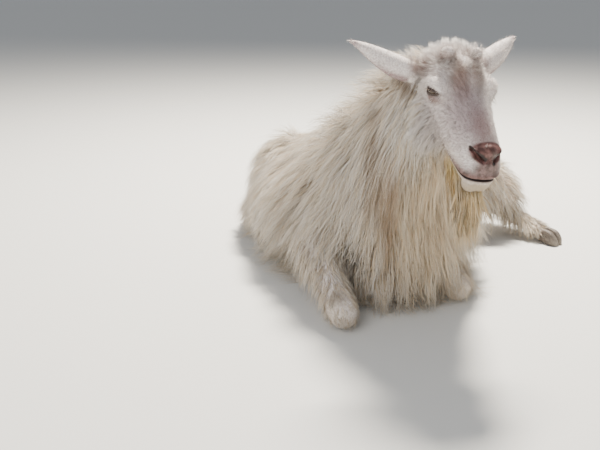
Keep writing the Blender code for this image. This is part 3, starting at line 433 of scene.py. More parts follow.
LIMBS = {
    "forearm_right": FOREARM_RIGHT,
    "front_cannon_right": FRONT_CANNON_RIGHT,
    "forearm_left": turned_over(FOREARM_RIGHT, FORE_LEFT_SHIFT),
    "front_cannon_left": turned_over(FRONT_CANNON_RIGHT, FORE_LEFT_SHIFT),
    "thigh_right": THIGH_RIGHT,
    "shank_right": SHANK_RIGHT,
    "hind_cannon_right": HIND_CANNON_RIGHT,
    "thigh_left": THIGH_LEFT,
    "shank_left": SHANK_LEFT,
    "hind_cannon_left": HIND_CANNON_LEFT,
    "tail": TAIL_ROWS,
}


def make_ear(name, side):
    """A cupped leaf, closed to a tube at its root, with the cup turned down and back."""
    root = POLL + Vector((side * EAR_ROOT.x, EAR_ROOT.y, EAR_ROOT.z))
    tip = POLL + Vector((side * EAR_TIP.x, EAR_TIP.y, EAR_TIP.z))
    run = (tip - root).normalized()
    back = Vector((side * 0.25, -0.35, 1.0))
    back = (back - run * back.dot(run)).normalized()
    across = run.cross(back).normalized()
    rings = []
    arc_steps = 18
    for share, half, turn in smooth_rows(EAR_ROWS, 5):
        centre = root.lerp(tip, share) - back * EAR_BOW * math.sin(math.pi * share)
        centre += back * 0.5 * half
        ring = []
        for inner in (False, True):
            thick = EAR_THICK * (0.45 + 0.55 * (1 - share))
            radius = float(max(half - thick if inner else half, 0.0006))
            steps = range(arc_steps + 1)
            for step in reversed(steps) if inner else steps:
                angle = math.radians(turn) * (2 * step / arc_steps - 1)
                way = back * math.cos(angle) + across * math.sin(angle)
                ring.append(centre + way * radius)
        rings.append(ring)
    return skin_rings(name, rings)


def points_of(mesh):
    found = np.empty(len(mesh.vertices) * 3, np.float32)
    mesh.vertices.foreach_get("co", found)
    return found.reshape(-1, 3).astype(float)


def normals_of(mesh):
    found = np.empty(len(mesh.vertices) * 3, np.float32)
    mesh.vertices.foreach_get("normal", found)
    return found.reshape(-1, 3).astype(float)


def set_points(mesh, points):
    mesh.vertices.foreach_set("co", points.astype(np.float32).ravel())
    mesh.update()


def away_from_path(points, path):
    """Distance of each of the POINTS from a path of points."""
    best = np.full(len(points), 1e9)
    for start, end in zip(path[:-1], path[1:]):
        run = end - start
        t = np.clip((points - start) @ run / (run @ run), 0, 1)
        best = np.minimum(best, np.linalg.norm(points - start - t[:, None] * run, axis=1))
    return best


def hill(distance, width):
    """1 at no distance, falling softly to 0 beyond WIDTH."""
    return np.exp(-((distance / width) ** 2))


def smooth_step(low, high, value):
    t = np.clip((value - low) / (high - low), 0, 1)
    return t * t * (3 - 2 * t)


def in_head(points):
    """World POINTS as (across, forward, up) from the poll."""
    turn = np.array(head_frame().inverted())
    return points @ turn[:3, :3].T + turn[:3, 3]


def make_head_skin():
    fall = Matrix.Rotation(-FACE_FALL, 4, "X")
    rounds = [skull("skull")]
    for spread, ahead, up, size_across, size_along, size_square in HEAD_ROUNDS:
        for side in (-1, 1):
            centre = (side * spread, ahead, up)
            rounds.append(ball("round", centre, (size_across, size_along, size_square), fall))
    rounds.append(ball("nose", (0, 0.153, -0.184), (0.024, 0.013, 0.017)))
    rounds.append(ball("brow", (0, 0.040, -0.045), (0.046, 0.050, 0.030), fall))
    head = melt(join("head_skin", rounds), 0.0024, 12)
    lids = []
    for side in (-1, 1):
        centre = (side * EYE_PLACE[0], *EYE_PLACE[1:])
        outer = EYE_RADIUS + LID_THICK
        lids.append(ball("lids", centre, (outer, outer, outer)))
    head = melt(join("head_skin", [head] + lids), 0.0022, 3)
    for side in (-1, 1):
        centre = Vector((side * EYE_PLACE[0], *EYE_PLACE[1:]))
        hollow = EYE_RADIUS + 0.0004
        combine(head, ball("bed", centre, (hollow, hollow, hollow)), "DIFFERENCE")
        turn = Matrix.Rotation(-LID_SLOPE, 4, "X")
        opening_at = centre + Vector((side * (EYE_RADIUS + 0.002), LID_AHEAD, 0))
        sizes = (0.012, LID_HALF_LENGTH, LID_HALF_OPENING)
        combine(head, ball("opening", opening_at, sizes, turn), "DIFFERENCE")
    for side in (-1, 1):
        combine(head, make_ear("ear", side), "UNION")
    shape_face(head)
    return head


def eye_frame(local, side):
    """Places round one eye: along its slit towards the nose, square to it, and how far out."""
    rest = local - np.array([side * EYE_PLACE[0], EYE_PLACE[1] + LID_AHEAD, EYE_PLACE[2]])
    along = rest[:, 1] * math.cos(LID_SLOPE) - rest[:, 2] * math.sin(LID_SLOPE)
    square = rest[:, 1] * math.sin(LID_SLOPE) + rest[:, 2] * math.cos(LID_SLOPE)
    return along, square, rest[:, 0] * side


def mouth_rise(local):
    """Height over the mouth's sheet and the share along it, 0 at the corner and 1 at the front."""
    corner = np.array(MOUTH_CORNER)
    run = np.array(MOUTH_FRONT) - corner
    length = np.linalg.norm(run)
    run = run / length
    flat = local[:, 1:] - corner
    share = flat @ run / length
    bow = MOUTH_BOW * np.sin(math.pi * np.clip(share, 0, 1))
    return flat @ np.array([-run[1], run[0]]) - bow, share


def laid_on(mesh, path, sink=0.0):
    """PATH laid on the surface of MESH and pressed in by SINK, in the head's frame."""
    polygons = [face.vertices[:] for face in mesh.polygons]
    cover = BVHTree.FromPolygons([vertex.co for vertex in mesh.vertices], polygons)
    place_of = head_frame()
    back = place_of.inverted()
    laid = []
    for start, end in zip(path, path[1:]):
        for step in range(4):
            near, out, _, _ = cover.find_nearest(place_of @ Vector(start).lerp(Vector(end), step / 4))
            laid.append(np.array(back @ (near - out * sink)))
    near, out, _, _ = cover.find_nearest(place_of @ Vector(path[-1]))
    laid.append(np.array(back @ (near - out * sink)))
    return laid


def nostril_path(side):
    return [np.array(place) for place in (
        (side * 0.0400, 0.145, -0.176),
        (side * 0.0360, 0.154, -0.183),
        (side * 0.0270, 0.161, -0.192),
        (side * 0.0150, 0.168, -0.200),
    )]


def refine_face(obj):
    """Splits the faces near the eyes, the mouth and the nostrils once."""
    points = in_head(points_of(obj.data))
    near = np.zeros(len(points), bool)
    for side in (-1, 1):
        along, square, out = eye_frame(points, side)
        near |= (np.abs(along) < 0.028) & (np.abs(square) < 0.018) & (out > 0)
        near |= away_from_path(points, nostril_path(side)) < 0.016
    rise, share = mouth_rise(points)
    near |= (np.abs(rise) < 0.006) & (share > -0.1) & (points[:, 1] > 0.05)
    shape = bmesh.new()
    shape.from_mesh(obj.data)
    edges = [e for e in shape.edges if near[e.verts[0].index] and near[e.verts[1].index]]
    bmesh.ops.subdivide_edges(shape, edges=edges, cuts=1, use_grid_fill=True)
    bmesh.ops.triangulate(shape, faces=[f for f in shape.faces if len(f.verts) > 4])
    shape.to_mesh(obj.data)
    shape.free()


def shape_face(obj):
    """Presses the mouth line, nostrils, creases round the eyes and grooves in, and raises lips, the
    nostrils' wings and the brows.
    """
    refine_face(obj)
    mesh = obj.data
    points = points_of(mesh)
    outward = normals_of(mesh)
    local = in_head(points)
    move = np.zeros(len(points))
    rise, share = mouth_rise(local)
    along_mouth = smooth_step(-0.06, 0.10, share) * (local[:, 1] > 0.05)
    move -= 0.0052 * hill(rise, 0.0019) * along_mouth
    move += 0.0030 * hill(rise - 0.0085, 0.0050) * along_mouth
    move += 0.0018 * hill(rise + 0.0060, 0.0036) * along_mouth
    for side in (-1, 1):
        path = laid_on(mesh, nostril_path(side))
        slit = away_from_path(local, path)
        deep = away_from_path(local, path[-6:])
        move -= 0.0070 * hill(slit, 0.0026) + 0.0040 * hill(deep, 0.0038)
        wing = away_from_path(local, [place + (side * 0.003, 0.001, 0.009) for place in path[:-3]])
        move += 0.0034 * hill(wing, 0.0055)
        along, square, out = eye_frame(local, side)
        facing = smooth_step(0.0, 0.010, out)
        # the brow's fold over the eye, the crease under it, and the bag under the lower lid
        brow = square - 0.0200 + 0.6 * along**2 / 0.03
        move += 0.0058 * hill(brow, 0.0075) * hill(along + 0.002, 0.030) * facing
        crease = square - 0.0115 + 0.6 * along**2 / 0.03
        move -= 0.0024 * hill(crease, 0.0026) * hill(along, 0.024) * facing
        bag = square + 0.0125 - 0.5 * along**2 / 0.03
        move -= 0.0022 * hill(bag, 0.0028) * hill(along, 0.022) * facing
        # the tear groove that runs down from the inner corner
        groove = away_from_path(local, [
            np.array((side * 0.0740, 0.060, -0.083)),
            np.array((side * 0.0670, 0.075, -0.095)),
            np.array((side * 0.0580, 0.088, -0.110)),
        ])
        move -= 0.0034 * hill(groove, 0.0050)
    # the groove between the nostrils, down to the lip
    centre_line = np.where(local[:, 1] > 0.12, np.abs(local[:, 0]), 1.0)
    low = smooth_step(-0.186, -0.196, local[:, 2]) * smooth_step(-0.238, -0.226, local[:, 2])
    move -= 0.0016 * hill(centre_line, 0.0018) * low
    set_points(mesh, points + outward * move[:, None])


def mark_face(mesh):
    """Writes where the skin is bare, dark or pink, and where shade is painted into the mouth line, the
    nostrils, the eyes' corners and the ears' cups, as values at its points.
    """
    points = points_of(mesh)
    local = in_head(points)
    rise, share = mouth_rise(local)
    on_mouth = smooth_step(-0.10, 0.02, share) * (local[:, 1] > 0.05) * (local[:, 2] < -0.15)
    side_on = smooth_step(0.062, 0.150, local[:, 1])
    front = smooth_step(0.118, 0.152, local[:, 1])
    # painted shade: the crease of the mouth line and the pressed-in nostril slits are marked to be painted
    # near-black
    slit = hill(rise, 0.0036) * on_mouth
    upper_lip = np.where(rise > 0.003, 0.0075 + 0.016 * side_on, 0.0085)
    lip = hill(rise - 0.003, upper_lip) * on_mouth
    nose = np.zeros(len(points))
    rim = np.zeros(len(points))
    lid = np.zeros(len(points))
    pink = np.zeros(len(points))
    for side in (-1, 1):
        floor_of_slit = laid_on(mesh, nostril_path(side))
        path = away_from_path(local, floor_of_slit)
        deep = away_from_path(local, floor_of_slit[-7:])
        slit = np.maximum(slit, np.maximum(hill(path, 0.0034), hill(deep, 0.0052)))
        along, square, out = eye_frame(local, side)
        facing = smooth_step(-0.010, 0.000, out)
        # dark lid margins, carried past the opening as painted shade at the eye's corners to lengthen its
        # dark slit
        around = np.sqrt(((along + 0.002) / 0.0270) ** 2 + (square / 0.0085) ** 2)
        rim = np.maximum(rim, (1 - smooth_step(0.85, 1.30, around)) * facing)
        # painted shade in the tear groove below the inner corner
        tear = away_from_path(local, [
            np.array((side * 0.0740, 0.060, -0.082)),
            np.array((side * 0.0680, 0.074, -0.094)),
        ])
        rim = np.maximum(rim, 0.9 * hill(tear, 0.0038))
        patch = np.sqrt((along / 0.030) ** 2 + ((square + 0.014) / 0.015) ** 2)
        lid = np.maximum(lid, (1 - smooth_step(0.4, 1.35, patch)) * facing)
    pad = np.abs(local[:, 0] / 0.040) ** 2.4 + np.abs((local[:, 2] + 0.1845) / 0.0225) ** 2.4
    nose = (1 - smooth_step(0.70, 1.15, pad)) * (local[:, 1] > 0.120)
    below = np.sqrt((local[:, 0] / 0.036) ** 2 + ((local[:, 2] + 0.220) / 0.027) ** 2)
    muzzle = (1 - smooth_step(0.6, 1.45, below)) * (local[:, 1] > 0.115)
    muzzle *= smooth_step(-0.011, -0.003, rise)
    for side in (-1, 1):
        root = np.array(POLL + Vector((side * EAR_ROOT.x, EAR_ROOT.y, EAR_ROOT.z)))
        tip = np.array(POLL + Vector((side * EAR_TIP.x, EAR_TIP.y, EAR_TIP.z)))
        run = tip - root
        share_out = (points - root) @ run / (run @ run)
        off = np.linalg.norm(points - root - share_out[:, None] * run, axis=1)
        on_ear = (share_out > 0.12) & (off < 0.036) & (side * (points[:, 0] - POLL.x) > 0.06)
        outward = normals_of(mesh)
        # pink skin of the ear, and painted shade on the underside of the downturned cup
        under = smooth_step(0.25, -0.20, outward @ np.array([side * 0.25, -0.35, 1.0]))
        pink = np.maximum(pink, on_ear * np.maximum(under, smooth_step(0.80, 1.0, share_out)))
    for name, values in (
        ("painted_slit_shade", slit), ("lip_skin", np.maximum(lip, 0.85 * muzzle)), ("nose_skin", nose),
        ("lid_rim", rim), ("lid_skin", lid), ("ear_pink_and_cup_shade", pink),
    ):
        attribute = mesh.attributes.new(name, "FLOAT", "POINT")
        attribute.data.foreach_set("value", np.clip(values, 0, 1).astype(np.float32))
    return np.clip(slit + lip + nose + rim * 1.5 + 0.75 * lid + muzzle, 0, 1)


def limb_kind(name):
    return name if name in LIMB_HAIR else name.rsplit("_", 1)[0]


def limb_up(name):
    return Vector((0, 0, 1))


def make_flesh_forms():
    """The separate forms of the body, kept to tell which part of the body a root grows on."""
    forms = {"trunk": trunk("trunk")}
    rows = [row[:5] for row in NECK_ROWS]
    forms["neck"] = limb("neck", rows, 4, 40, Vector((0, 1, 0)))
    for name, rows in LIMBS.items():
        forms[name] = limb(name, rows, 4, 24, limb_up(name), LIMB_HAIR[limb_kind(name)])
    return forms


def make_skin(forms):
    """One closed skin over the head, the neck, the trunk, the limbs and the tail."""
    copies = [add_object(name, form.data.copy()) for name, form in forms.items()]
    body = melt(join("body_skin", copies), 0.0075, 5)
    head = make_head_skin()
    skin = combine(head, body, "UNION", "MANIFOLD")
    points = points_of(skin.data)
    points[:, 2] = np.maximum(points[:, 2], FLOOR)
    set_points(skin.data, points)
    skin.name = "skin"
    skin.data.name = "skin"
    skin.data.polygons.foreach_set("use_smooth", np.ones(len(skin.data.polygons), bool))
    return skin


# The coat

# Part of the body, count of guide locks and count of tufts that grow on it.
COAT_COUNTS = {
    "head": (1500, 16800),
    "beard": (80, 1900),
    "neck": (850, 11700),
    "trunk": (1400, 17400),
    "thigh_right": (200, 2800),
    "thigh_left": (260, 3800),
    "shank_right": (90, 900),
    "shank_left": (180, 2700),
    "forearm_right": (170, 1900),
    "forearm_left": (110, 800),
    "front_cannon_right": (60, 350),
    "front_cannon_left": (50, 250),
    "hind_cannon_right": (60, 300),
    "hind_cannon_left": (110, 900),
    "tail": (60, 900),
}
LONG_STEPS = 9
COAT_CLEAR = 0.003


def path_of(name):
    """The middle line of one form, and its up direction."""
    if name == "trunk":
        rows = smooth_rows(TRUNK_ROWS, 4)
        return np.stack([rows[:, 1], rows[:, 0], rows[:, 2] + 0.45 * (rows[:, 3] - rows[:, 2])], 1)
    rows = smooth_rows([row[:5] for row in NECK_ROWS] if name == "neck" else LIMBS[name], 4)
    return rows[:, :3]


def along_path(points, path):
    """Share of the path's length nearest to each point, the way of the path and off it there."""
    best = np.full(len(points), 1e9)
    share = np.zeros(len(points))
    ways = np.zeros((len(points), 3))
    off = np.zeros((len(points), 3))
    for index in range(len(path) - 1):
        start, run = path[index], path[index + 1] - path[index]
        t = np.clip((points - start) @ run / (run @ run), 0, 1)
        foot = start + t[:, None] * run
        gap = np.linalg.norm(points - foot, axis=1)
        near = gap < best
        best[near] = gap[near]
        share[near] = (index + t[near]) / (len(path) - 1)
        ways[near] = run / np.linalg.norm(run)
        off[near] = (points - foot)[near]
    off /= np.maximum(np.linalg.norm(off, axis=1), 1e-9)[:, None]
    return share, ways, off


def label_points(points, outward, forms, head_reach):
    """The name of the form that lies nearest to each point."""
    names = ["head", "beard"] + list(forms)
    trees = []
    for form in forms.values():
        trees.append(BVHTree.FromPolygons(
            [v.co for v in form.data.vertices], [f.vertices[:] for f in form.data.polygons]))
    labels = np.zeros(len(points), int)
    local = in_head(points)
    for index, point in enumerate(points):
        if local[index, 1] > -0.075 and local[index, 2] > -0.30 and points[index, 2] > 0.34:
            if head_reach.find_nearest(Vector(point), 0.004)[0] is not None:
                across, ahead, up = local[index]
                under = abs(across) < 0.030 and 0.035 < ahead < 0.132 and outward[index, 2] < -0.25
                labels[index] = 1 if under and up < -0.17 else 0
                continue
        best = 1.0
        for number, tree in enumerate(trees):
            _, _, _, away = tree.find_nearest(Vector(point), 0.06)
            if away is not None and away < best:
                best = away
                labels[index] = number + 2
    return names, labels


def hair_of(name, points, outward, bare):
    """Length, heading, coat depth, width and density of the hair at POINTS of one form."""
    count = len(points)
    down = np.array([0.0, 0.0, -1.0])
    ones = np.ones(count)
    lift = ones * 0.10
    if name == "head":
        return head_hair(points, outward, bare)
    if name == "beard":
        local = in_head(points)
        middle = hill(local[:, 0], 0.030) * hill(local[:, 1] - 0.085, 0.055)
        length = 0.075 + 0.105 * middle
        heading = down + np.array([0, -0.10, 0]) + 0.15 * outward
        return length, heading, 0.004 * ones, 0.0030 * ones, ones, lift
    share, run, off = along_path(points, path_of(name))
    side = np.sign(off[:, 0] + 1e-9)
    low = smooth_step(-0.35, -0.75, outward[:, 2])
    if name == "trunk":
        over = smooth_step(0.55, 0.98, off[:, 2])
        along = points[:, 1]
        length = 0.185 - 0.055 * over - 0.045 * smooth_step(0.50, 0.70, along)
        length *= 0.80 + 0.20 * smooth_step(-0.17, -0.06, along)
        heading = np.stack([side * (0.85 - 0.1 * over), 0.30 + 0.25 * over, -1.0 * ones], 1)
        front = smooth_step(-0.06, -0.13, along)
        heading = heading * (1 - front)[:, None] + front[:, None] * (down + 0.25 * outward)
        seat = smooth_step(0.64, 0.70, along)
        heading = heading * (1 - seat)[:, None] + seat[:, None] * (down + np.array([0, 0.3, 0]))
        top = np.interp(along, [row[0] for row in TRUNK_ROWS[::-1]], [row[5] for row in TRUNK_ROWS[::-1]])
        wide = np.interp(along, [row[0] for row in TRUNK_ROWS[::-1]], [row[6] for row in TRUNK_ROWS[::-1]])
        depth = wide + (top - wide) * smooth_step(0.1, 0.9, off[:, 2])
        depth += over * (0.052 * hill(along - 0.04, 0.13) - 0.012 * hill(along - 0.52, 0.16))
        depth = np.maximum(depth, 0.008)
        width = 0.0022 * ones
    elif name == "neck":
        depth = np.interp(share, np.linspace(0, 1, 6), [row[5] for row in NECK_ROWS])
        crest = smooth_step(0.2, 0.9, off[:, 1])
        depth += 0.048 * crest * smooth_step(1.0, 0.6, share)
        length = np.interp(share, [0.0, 0.3, 0.6, 0.8, 1.0], [0.22, 0.235, 0.200, 0.130, 0.060])
        length *= 1 - 0.30 * crest
        heading = down + 0.30 * outward * np.array([1, 1, 0]) - 0.5 * run
        heading[:, 0] += 0.8 * side * crest
        width = 0.0020 * ones
    elif name == "tail":
        length = 0.095 - 0.02 * share
        heading = run + np.array([0, 0.2, -0.5]) + 0.3 * outward
        depth = 0.016 * ones
        width = 0.0030 * ones
    elif name.startswith("thigh"):
        length = 0.135 - 0.035 * smooth_step(0.5, 1.0, share)
        heading = run * 0.7 + 0.45 * outward * np.array([1, 1, 0]) + down * 0.9
        depth = 0.030 * ones
        width = 0.0023 * ones
    elif name.startswith("shank"):
        left = 1.0 if name == "shank_left" else 0.0
        length = 0.100 - (0.060 - 0.045 * left) * smooth_step(0.35, 1.0, share)
        heading = run * 0.9 + 0.5 * outward * np.array([1, 1, 0.3]) + down * (0.8 - 0.25 * left)
        depth = 0.020 - 0.012 * share + 0.020 * left * smooth_step(0.2, 0.7, share)
        width = 0.0021 * ones
    elif name.startswith("forearm"):
        length = 0.105 - 0.080 * smooth_step(0.15, 0.75, share)
        heading = run * 0.8 + 0.3 * outward * np.array([1, 1, 0]) + down * 0.6
        depth = 0.018 - 0.0168 * smooth_step(0.1, 0.75, share)
        width = 0.0024 - 0.0013 * smooth_step(0.2, 0.8, share)
        lift = 0.08 - 0.05 * smooth_step(0.2, 0.8, share)
    elif name == "hind_cannon_left":
        length = 0.075 - 0.040 * smooth_step(0.4, 1.0, share)
        heading = run + 0.4 * down + 0.4 * outward
        depth = 0.022 - 0.017 * share
        width = 0.0020 * ones
    else:
        length = 0.020 * ones
        heading = run + 0.15 * down
        depth = 0.0010 * ones
        width = 0.0010 * ones
        lift = 0.03 * ones
    density = 1 - 0.97 * low
    return length, heading, depth, width, density, lift


def head_hair(points, outward, bare):
    local = in_head(points)
    across, ahead, up = local.T
    ones = np.ones(len(points))
    turn = np.array(head_frame())[:3, :3]
    side = np.sign(across + 1e-9)
    ear = np.abs(across) > 0.074 + 0.010 * (ahead > 0.0)
    poll = hill(np.sqrt((across * 0.75) ** 2 + (ahead + 0.012) ** 2 + (up + 0.008) ** 2), 0.050)
    crown = smooth_step(0.03, -0.03, ahead) * smooth_step(-0.10, -0.04, up)
    cheek = smooth_step(0.060, -0.010, ahead + 0.25 * (up + 0.10)) * smooth_step(-0.080, -0.125, up)
    jaw = smooth_step(0.075, 0.010, ahead) * smooth_step(-0.150, -0.205, up)
    forehead = hill(np.sqrt((across / 1.3) ** 2 + (ahead - 0.035) ** 2 + (up + 0.03) ** 2), 0.032)
    brow = hill(np.sqrt((np.abs(across) - 0.058) ** 2 + (ahead - 0.046) ** 2 + (up + 0.056) ** 2), 0.014)
    fluff_share = np.clip(poll + crown, 0, 1)
    side_share = np.clip(cheek + jaw, 0, 1)
    length = 0.0165 + 0.014 * fluff_share + 0.056 * side_share + 0.014 * forehead + 0.004 * brow
    muzzle = smooth_step(0.075, 0.120, ahead)
    length = length * (1 - muzzle) + muzzle * 0.0060
    eye = np.sqrt((np.abs(across) - 0.078) ** 2 + (ahead - 0.046) ** 2 + (up + 0.078) ** 2)
    length *= 1 - 0.62 * hill(eye, 0.030)
    rise, _ = mouth_rise(local)
    length *= 1 - 0.5 * hill(rise, 0.016) * (ahead > 0.06)
    length = np.where(ear, 0.010, length)
    back = np.stack([side * 0.38, -0.62 * ones, -0.80 * ones], 1)
    face_up = np.stack([side * 0.22, -0.75 * ones, 0.35 * ones], 1)
    on_front = smooth_step(0.35, 0.85, outward @ np.array([0, -0.79, 0.61]))
    heading = back * (1 - on_front)[:, None] + face_up * on_front[:, None]
    fringe = np.stack([0.10 * side, 0.55 * ones, -0.85 * ones], 1)
    falls = (forehead * on_front)[:, None]
    heading = heading * (1 - falls) + fringe * falls
    fluff = np.stack([across * 7, -0.30 * ones, 0.65 * ones], 1)
    heading = heading * (1 - fluff_share)[:, None] + fluff * fluff_share[:, None]
    heading = heading @ turn.T
    ear_run = np.stack([side, 0.10 * ones, 0.5 * ones], 1)
    heading = np.where(ear[:, None], ear_run, heading)
    depth = 0.0006 + 0.012 * fluff_share + 0.022 * side_share
    depth = np.where(ear, 0.0004, depth)
    width = 0.00070 + 0.0007 * side_share
    width = np.where(ear, 0.0007, width)
    full = np.clip(fluff_share + 0.8 * side_share + forehead, 0, 1)
    density = (0.42 + 0.58 * full) * (1 - bare)
    rim = smooth_step(0.35, -0.05, outward @ np.array([0.0, -0.35, 1.0]))
    density = np.where(ear, 0.16 + 0.30 * rim, density)
    lift = 0.015 + 0.48 * poll + 0.22 * crown + 0.05 * side_share
    return length, heading, depth, width, density, lift


def scatter(draw, corners, weights, count):
    """COUNT random places on triangles, by area times WEIGHTS: face, and shares of its corners."""
    area = np.linalg.norm(np.cross(corners[:, 1] - corners[:, 0], corners[:, 2] - corners[:, 0]), axis=1)
    chance = area * weights
    faces = draw.choice(len(corners), count, p=chance / chance.sum())
    a, b = draw.random(count), draw.random(count)
    over = a + b > 1
    a[over], b[over] = 1 - a[over], 1 - b[over]
    return faces, np.stack([1 - a - b, a, b], 1)


def spread_out(draw, points, count):
    """COUNT of the points, each as far as it can be from those already taken."""
    taken = [int(draw.integers(len(points)))]
    gap = np.linalg.norm(points - points[taken[0]], axis=1)
    for _ in range(min(count, len(points)) - 1):
        taken.append(int(gap.argmax()))
        gap = np.minimum(gap, np.linalg.norm(points - points[taken[-1]], axis=1))
    return np.array(taken)


def hang(cover, skin_depth, root, normal, heading, length, weight, layer, lift, draw):
    """A guide: places from the root on, hanging over the skin, and the way out at each."""
    step = length / LONG_STEPS
    clear = min(COAT_CLEAR, 0.03 * length)
    normal = Vector(normal)
    heading = Vector(heading)
    heading = (heading - normal * heading.dot(normal)).normalized()
    side = normal.cross(heading)
    run = (heading + normal * lift * 3).normalized()
    place = Vector(root)
    path = [place.copy()]
    facing = [normal.copy()]
    wave = draw.uniform(0, 6.28)
    curl = draw.uniform(0.06, 0.30) * min(1.0, length / 0.10)
    for index in range(LONG_STEPS):
        share = (index + 1) / LONG_STEPS
        sway = side * curl * math.sin(wave + share * 7)
        run = (run + Vector((0, 0, -weight)) * (step / 0.02) ** 0.5 + sway).normalized()
        ahead = place + run * step
        near, out, face, away = cover.find_nearest(ahead)
        if near is not None:
            height = (ahead - near).dot(out)
            need = clear + (skin_depth[face] * layer) * min(1.0, share * 2.2)
            if height < need and away < 0.12:
                ahead = ahead + out * (need - height)
        else:
            out = facing[-1]
        lowest = 0.004 + 0.010 * layer * share
        if ahead.z < lowest:
            flat = Vector((run.x + out.x, run.y + out.y, 0))
            if flat.length > 1e-6:
                ahead += flat.normalized() * min(lowest - ahead.z, step) * 0.75
            ahead.z = lowest
        run = (ahead - place).normalized()
        place = place + run * step
        place.z = max(place.z, lowest)
        path.append(place.copy())
        facing.append(out.copy())
    return path, facing


def mesh_of(name, points, triangles):
    mesh = bpy.data.meshes.new(name)
    mesh.vertices.add(len(points))
    mesh.vertices.foreach_set("co", points.astype(np.float32).ravel())
    mesh.loops.add(triangles.size)
    mesh.loops.foreach_set("vertex_index", triangles.astype(np.int32).ravel())
    mesh.polygons.add(len(triangles))
    mesh.polygons.foreach_set("loop_start", np.arange(0, triangles.size, 3, dtype=np.int32))
    mesh.polygons.foreach_set("use_smooth", np.ones(len(triangles), bool))
    mesh.update(calc_edges=True)
    return mesh


def resampled(paths, count):
    """Each path of a stack read off at COUNT evenly spaced shares of its steps."""
    share = np.linspace(0, paths.shape[1] - 1, count)
    low = np.minimum(share.astype(int), paths.shape[1] - 2)
    t = (share - low)[None, :, None]
    return paths[:, low] * (1 - t) + paths[:, low + 1] * t


def tuft_meshes(name, paths, facing, width, chance, uv, largest=180000):
    """Flat, tapered, closed tufts of three sides along the PATHS, in pieces below LARGEST."""
    count, rows = paths.shape[:2]
    share = np.linspace(0, 1, rows)
    run = np.gradient(paths, axis=1)
    run /= np.maximum(np.linalg.norm(run, axis=2), 1e-9)[..., None]
    out = facing - run * np.sum(facing * run, axis=2)[..., None]
    out /= np.maximum(np.linalg.norm(out, axis=2), 1e-9)[..., None]
    across = np.cross(run, out)
    taper = (0.60 + 0.40 * np.sin(np.pi * np.minimum(share * 1.3, 1))) * (1 - share**2.2 * 0.95)
    half = 0.5 * width[:, None] * taper[None, :]
    tall = 0.35 * half
    ring = np.stack([
        paths - across * half[..., None] - out * tall[..., None] * 0.5,
        paths + across * half[..., None] - out * tall[..., None] * 0.5,
        paths + out * tall[..., None],
    ], 2)[:, :-1]
    rings = rows - 1
    points = np.concatenate([ring.reshape(count, rings * 3, 3), paths[:, -1:]], 1)
    each = rings * 3 + 1
    faces = [(0, 2, 1)]
    for index in range(rings - 1):
        for side in range(3):
            here, beside = index * 3 + side, index * 3 + (side + 1) % 3
            faces.append((here, beside, beside + 3))
            faces.append((here, beside + 3, here + 3))
    for side in range(3):
        faces.append(((rings - 1) * 3 + side, (rings - 1) * 3 + (side + 1) % 3, each - 1))
    faces = np.array(faces)
    corner = np.tile(np.array([0.0, 1.0, 0.5]), rings).tolist() + [0.5]
    level = np.repeat(share[:-1], 3).tolist() + [1.0]
    limit = max(1, largest // len(faces))
    made = []
    for part, start in enumerate(range(0, count, limit)):
        chosen = slice(start, min(start + limit, count))
        number = chosen.stop - chosen.start
        triangles = (faces[None] + (np.arange(number) * each)[:, None, None]).reshape(-1, 3)
        label = f"coat_{name}_{part + 1}"
        mesh = mesh_of(label, points[chosen].reshape(-1, 3), triangles)
        strand = np.zeros((number, each, 3), np.float32)
        strand[..., 0] = corner
        strand[..., 1] = level
        strand[..., 2] = chance[chosen, None]
        attribute = mesh.attributes.new("strand", "FLOAT_VECTOR", "POINT")
        attribute.data.foreach_set("vector", strand.ravel())
        place = np.zeros((number, each, 2), np.float32)
        place[..., 0] = np.array(corner) * 0.003
        place[..., 1] = np.array(level) * 0.003
        place += uv[chosen][:, None, :]
        layer = mesh.uv_layers.new(name="OFBake")
        layer.data.foreach_set("uv", place.reshape(-1, 2)[triangles.ravel()].ravel())
        made.append(add_object(label, mesh))
    return made


# Corner and size of each part's tile in the unwrap that the tufts are placed on.
TILES = {
    "trunk": (0.00, 0.00, 0.62, 0.50), "neck": (0.63, 0.00, 0.36, 0.34),
    "head": (0.00, 0.51, 0.40, 0.48), "beard": (0.41, 0.51, 0.14, 0.20),
    "thigh_right": (0.63, 0.35, 0.17, 0.15), "thigh_left": (0.81, 0.35, 0.18, 0.15),
    "shank_right": (0.56, 0.51, 0.14, 0.12), "shank_left": (0.71, 0.51, 0.14, 0.12),
    "forearm_right": (0.86, 0.51, 0.13, 0.12), "forearm_left": (0.56, 0.64, 0.14, 0.12),
    "front_cannon_right": (0.71, 0.64, 0.14, 0.12), "front_cannon_left": (0.86, 0.64, 0.13, 0.12),
    "hind_cannon_right": (0.56, 0.77, 0.14, 0.12), "hind_cannon_left": (0.71, 0.77, 0.14, 0.12),
    "tail": (0.86, 0.77, 0.13, 0.12),
}


def unwrapped(name, points):
    """Where each root lies on an unwrap of its form: turn round it and share along it."""
    left, low, wide, tall = TILES[name]
    if name in ("head", "beard"):
        local = in_head(points)
        turn = np.arctan2(local[:, 0], local[:, 2] + 0.10 + 0.5 * local[:, 1])
        share = np.clip((local[:, 1] + 0.10) / 0.30, 0, 1)
    else:
        share, run, off = along_path(points, path_of(name))
        flat = np.cross(run, np.array([0.0, 0.0, 1.0]))
        flat /= np.maximum(np.linalg.norm(flat, axis=1), 1e-9)[:, None]
        turn = np.arctan2(np.sum(off * flat, 1), np.sum(off * np.cross(flat, run), 1))
    u = left + (wide - 0.006) * (0.5 + turn / (2 * math.pi))
    return np.stack([u, low + (tall - 0.006) * share], 1)


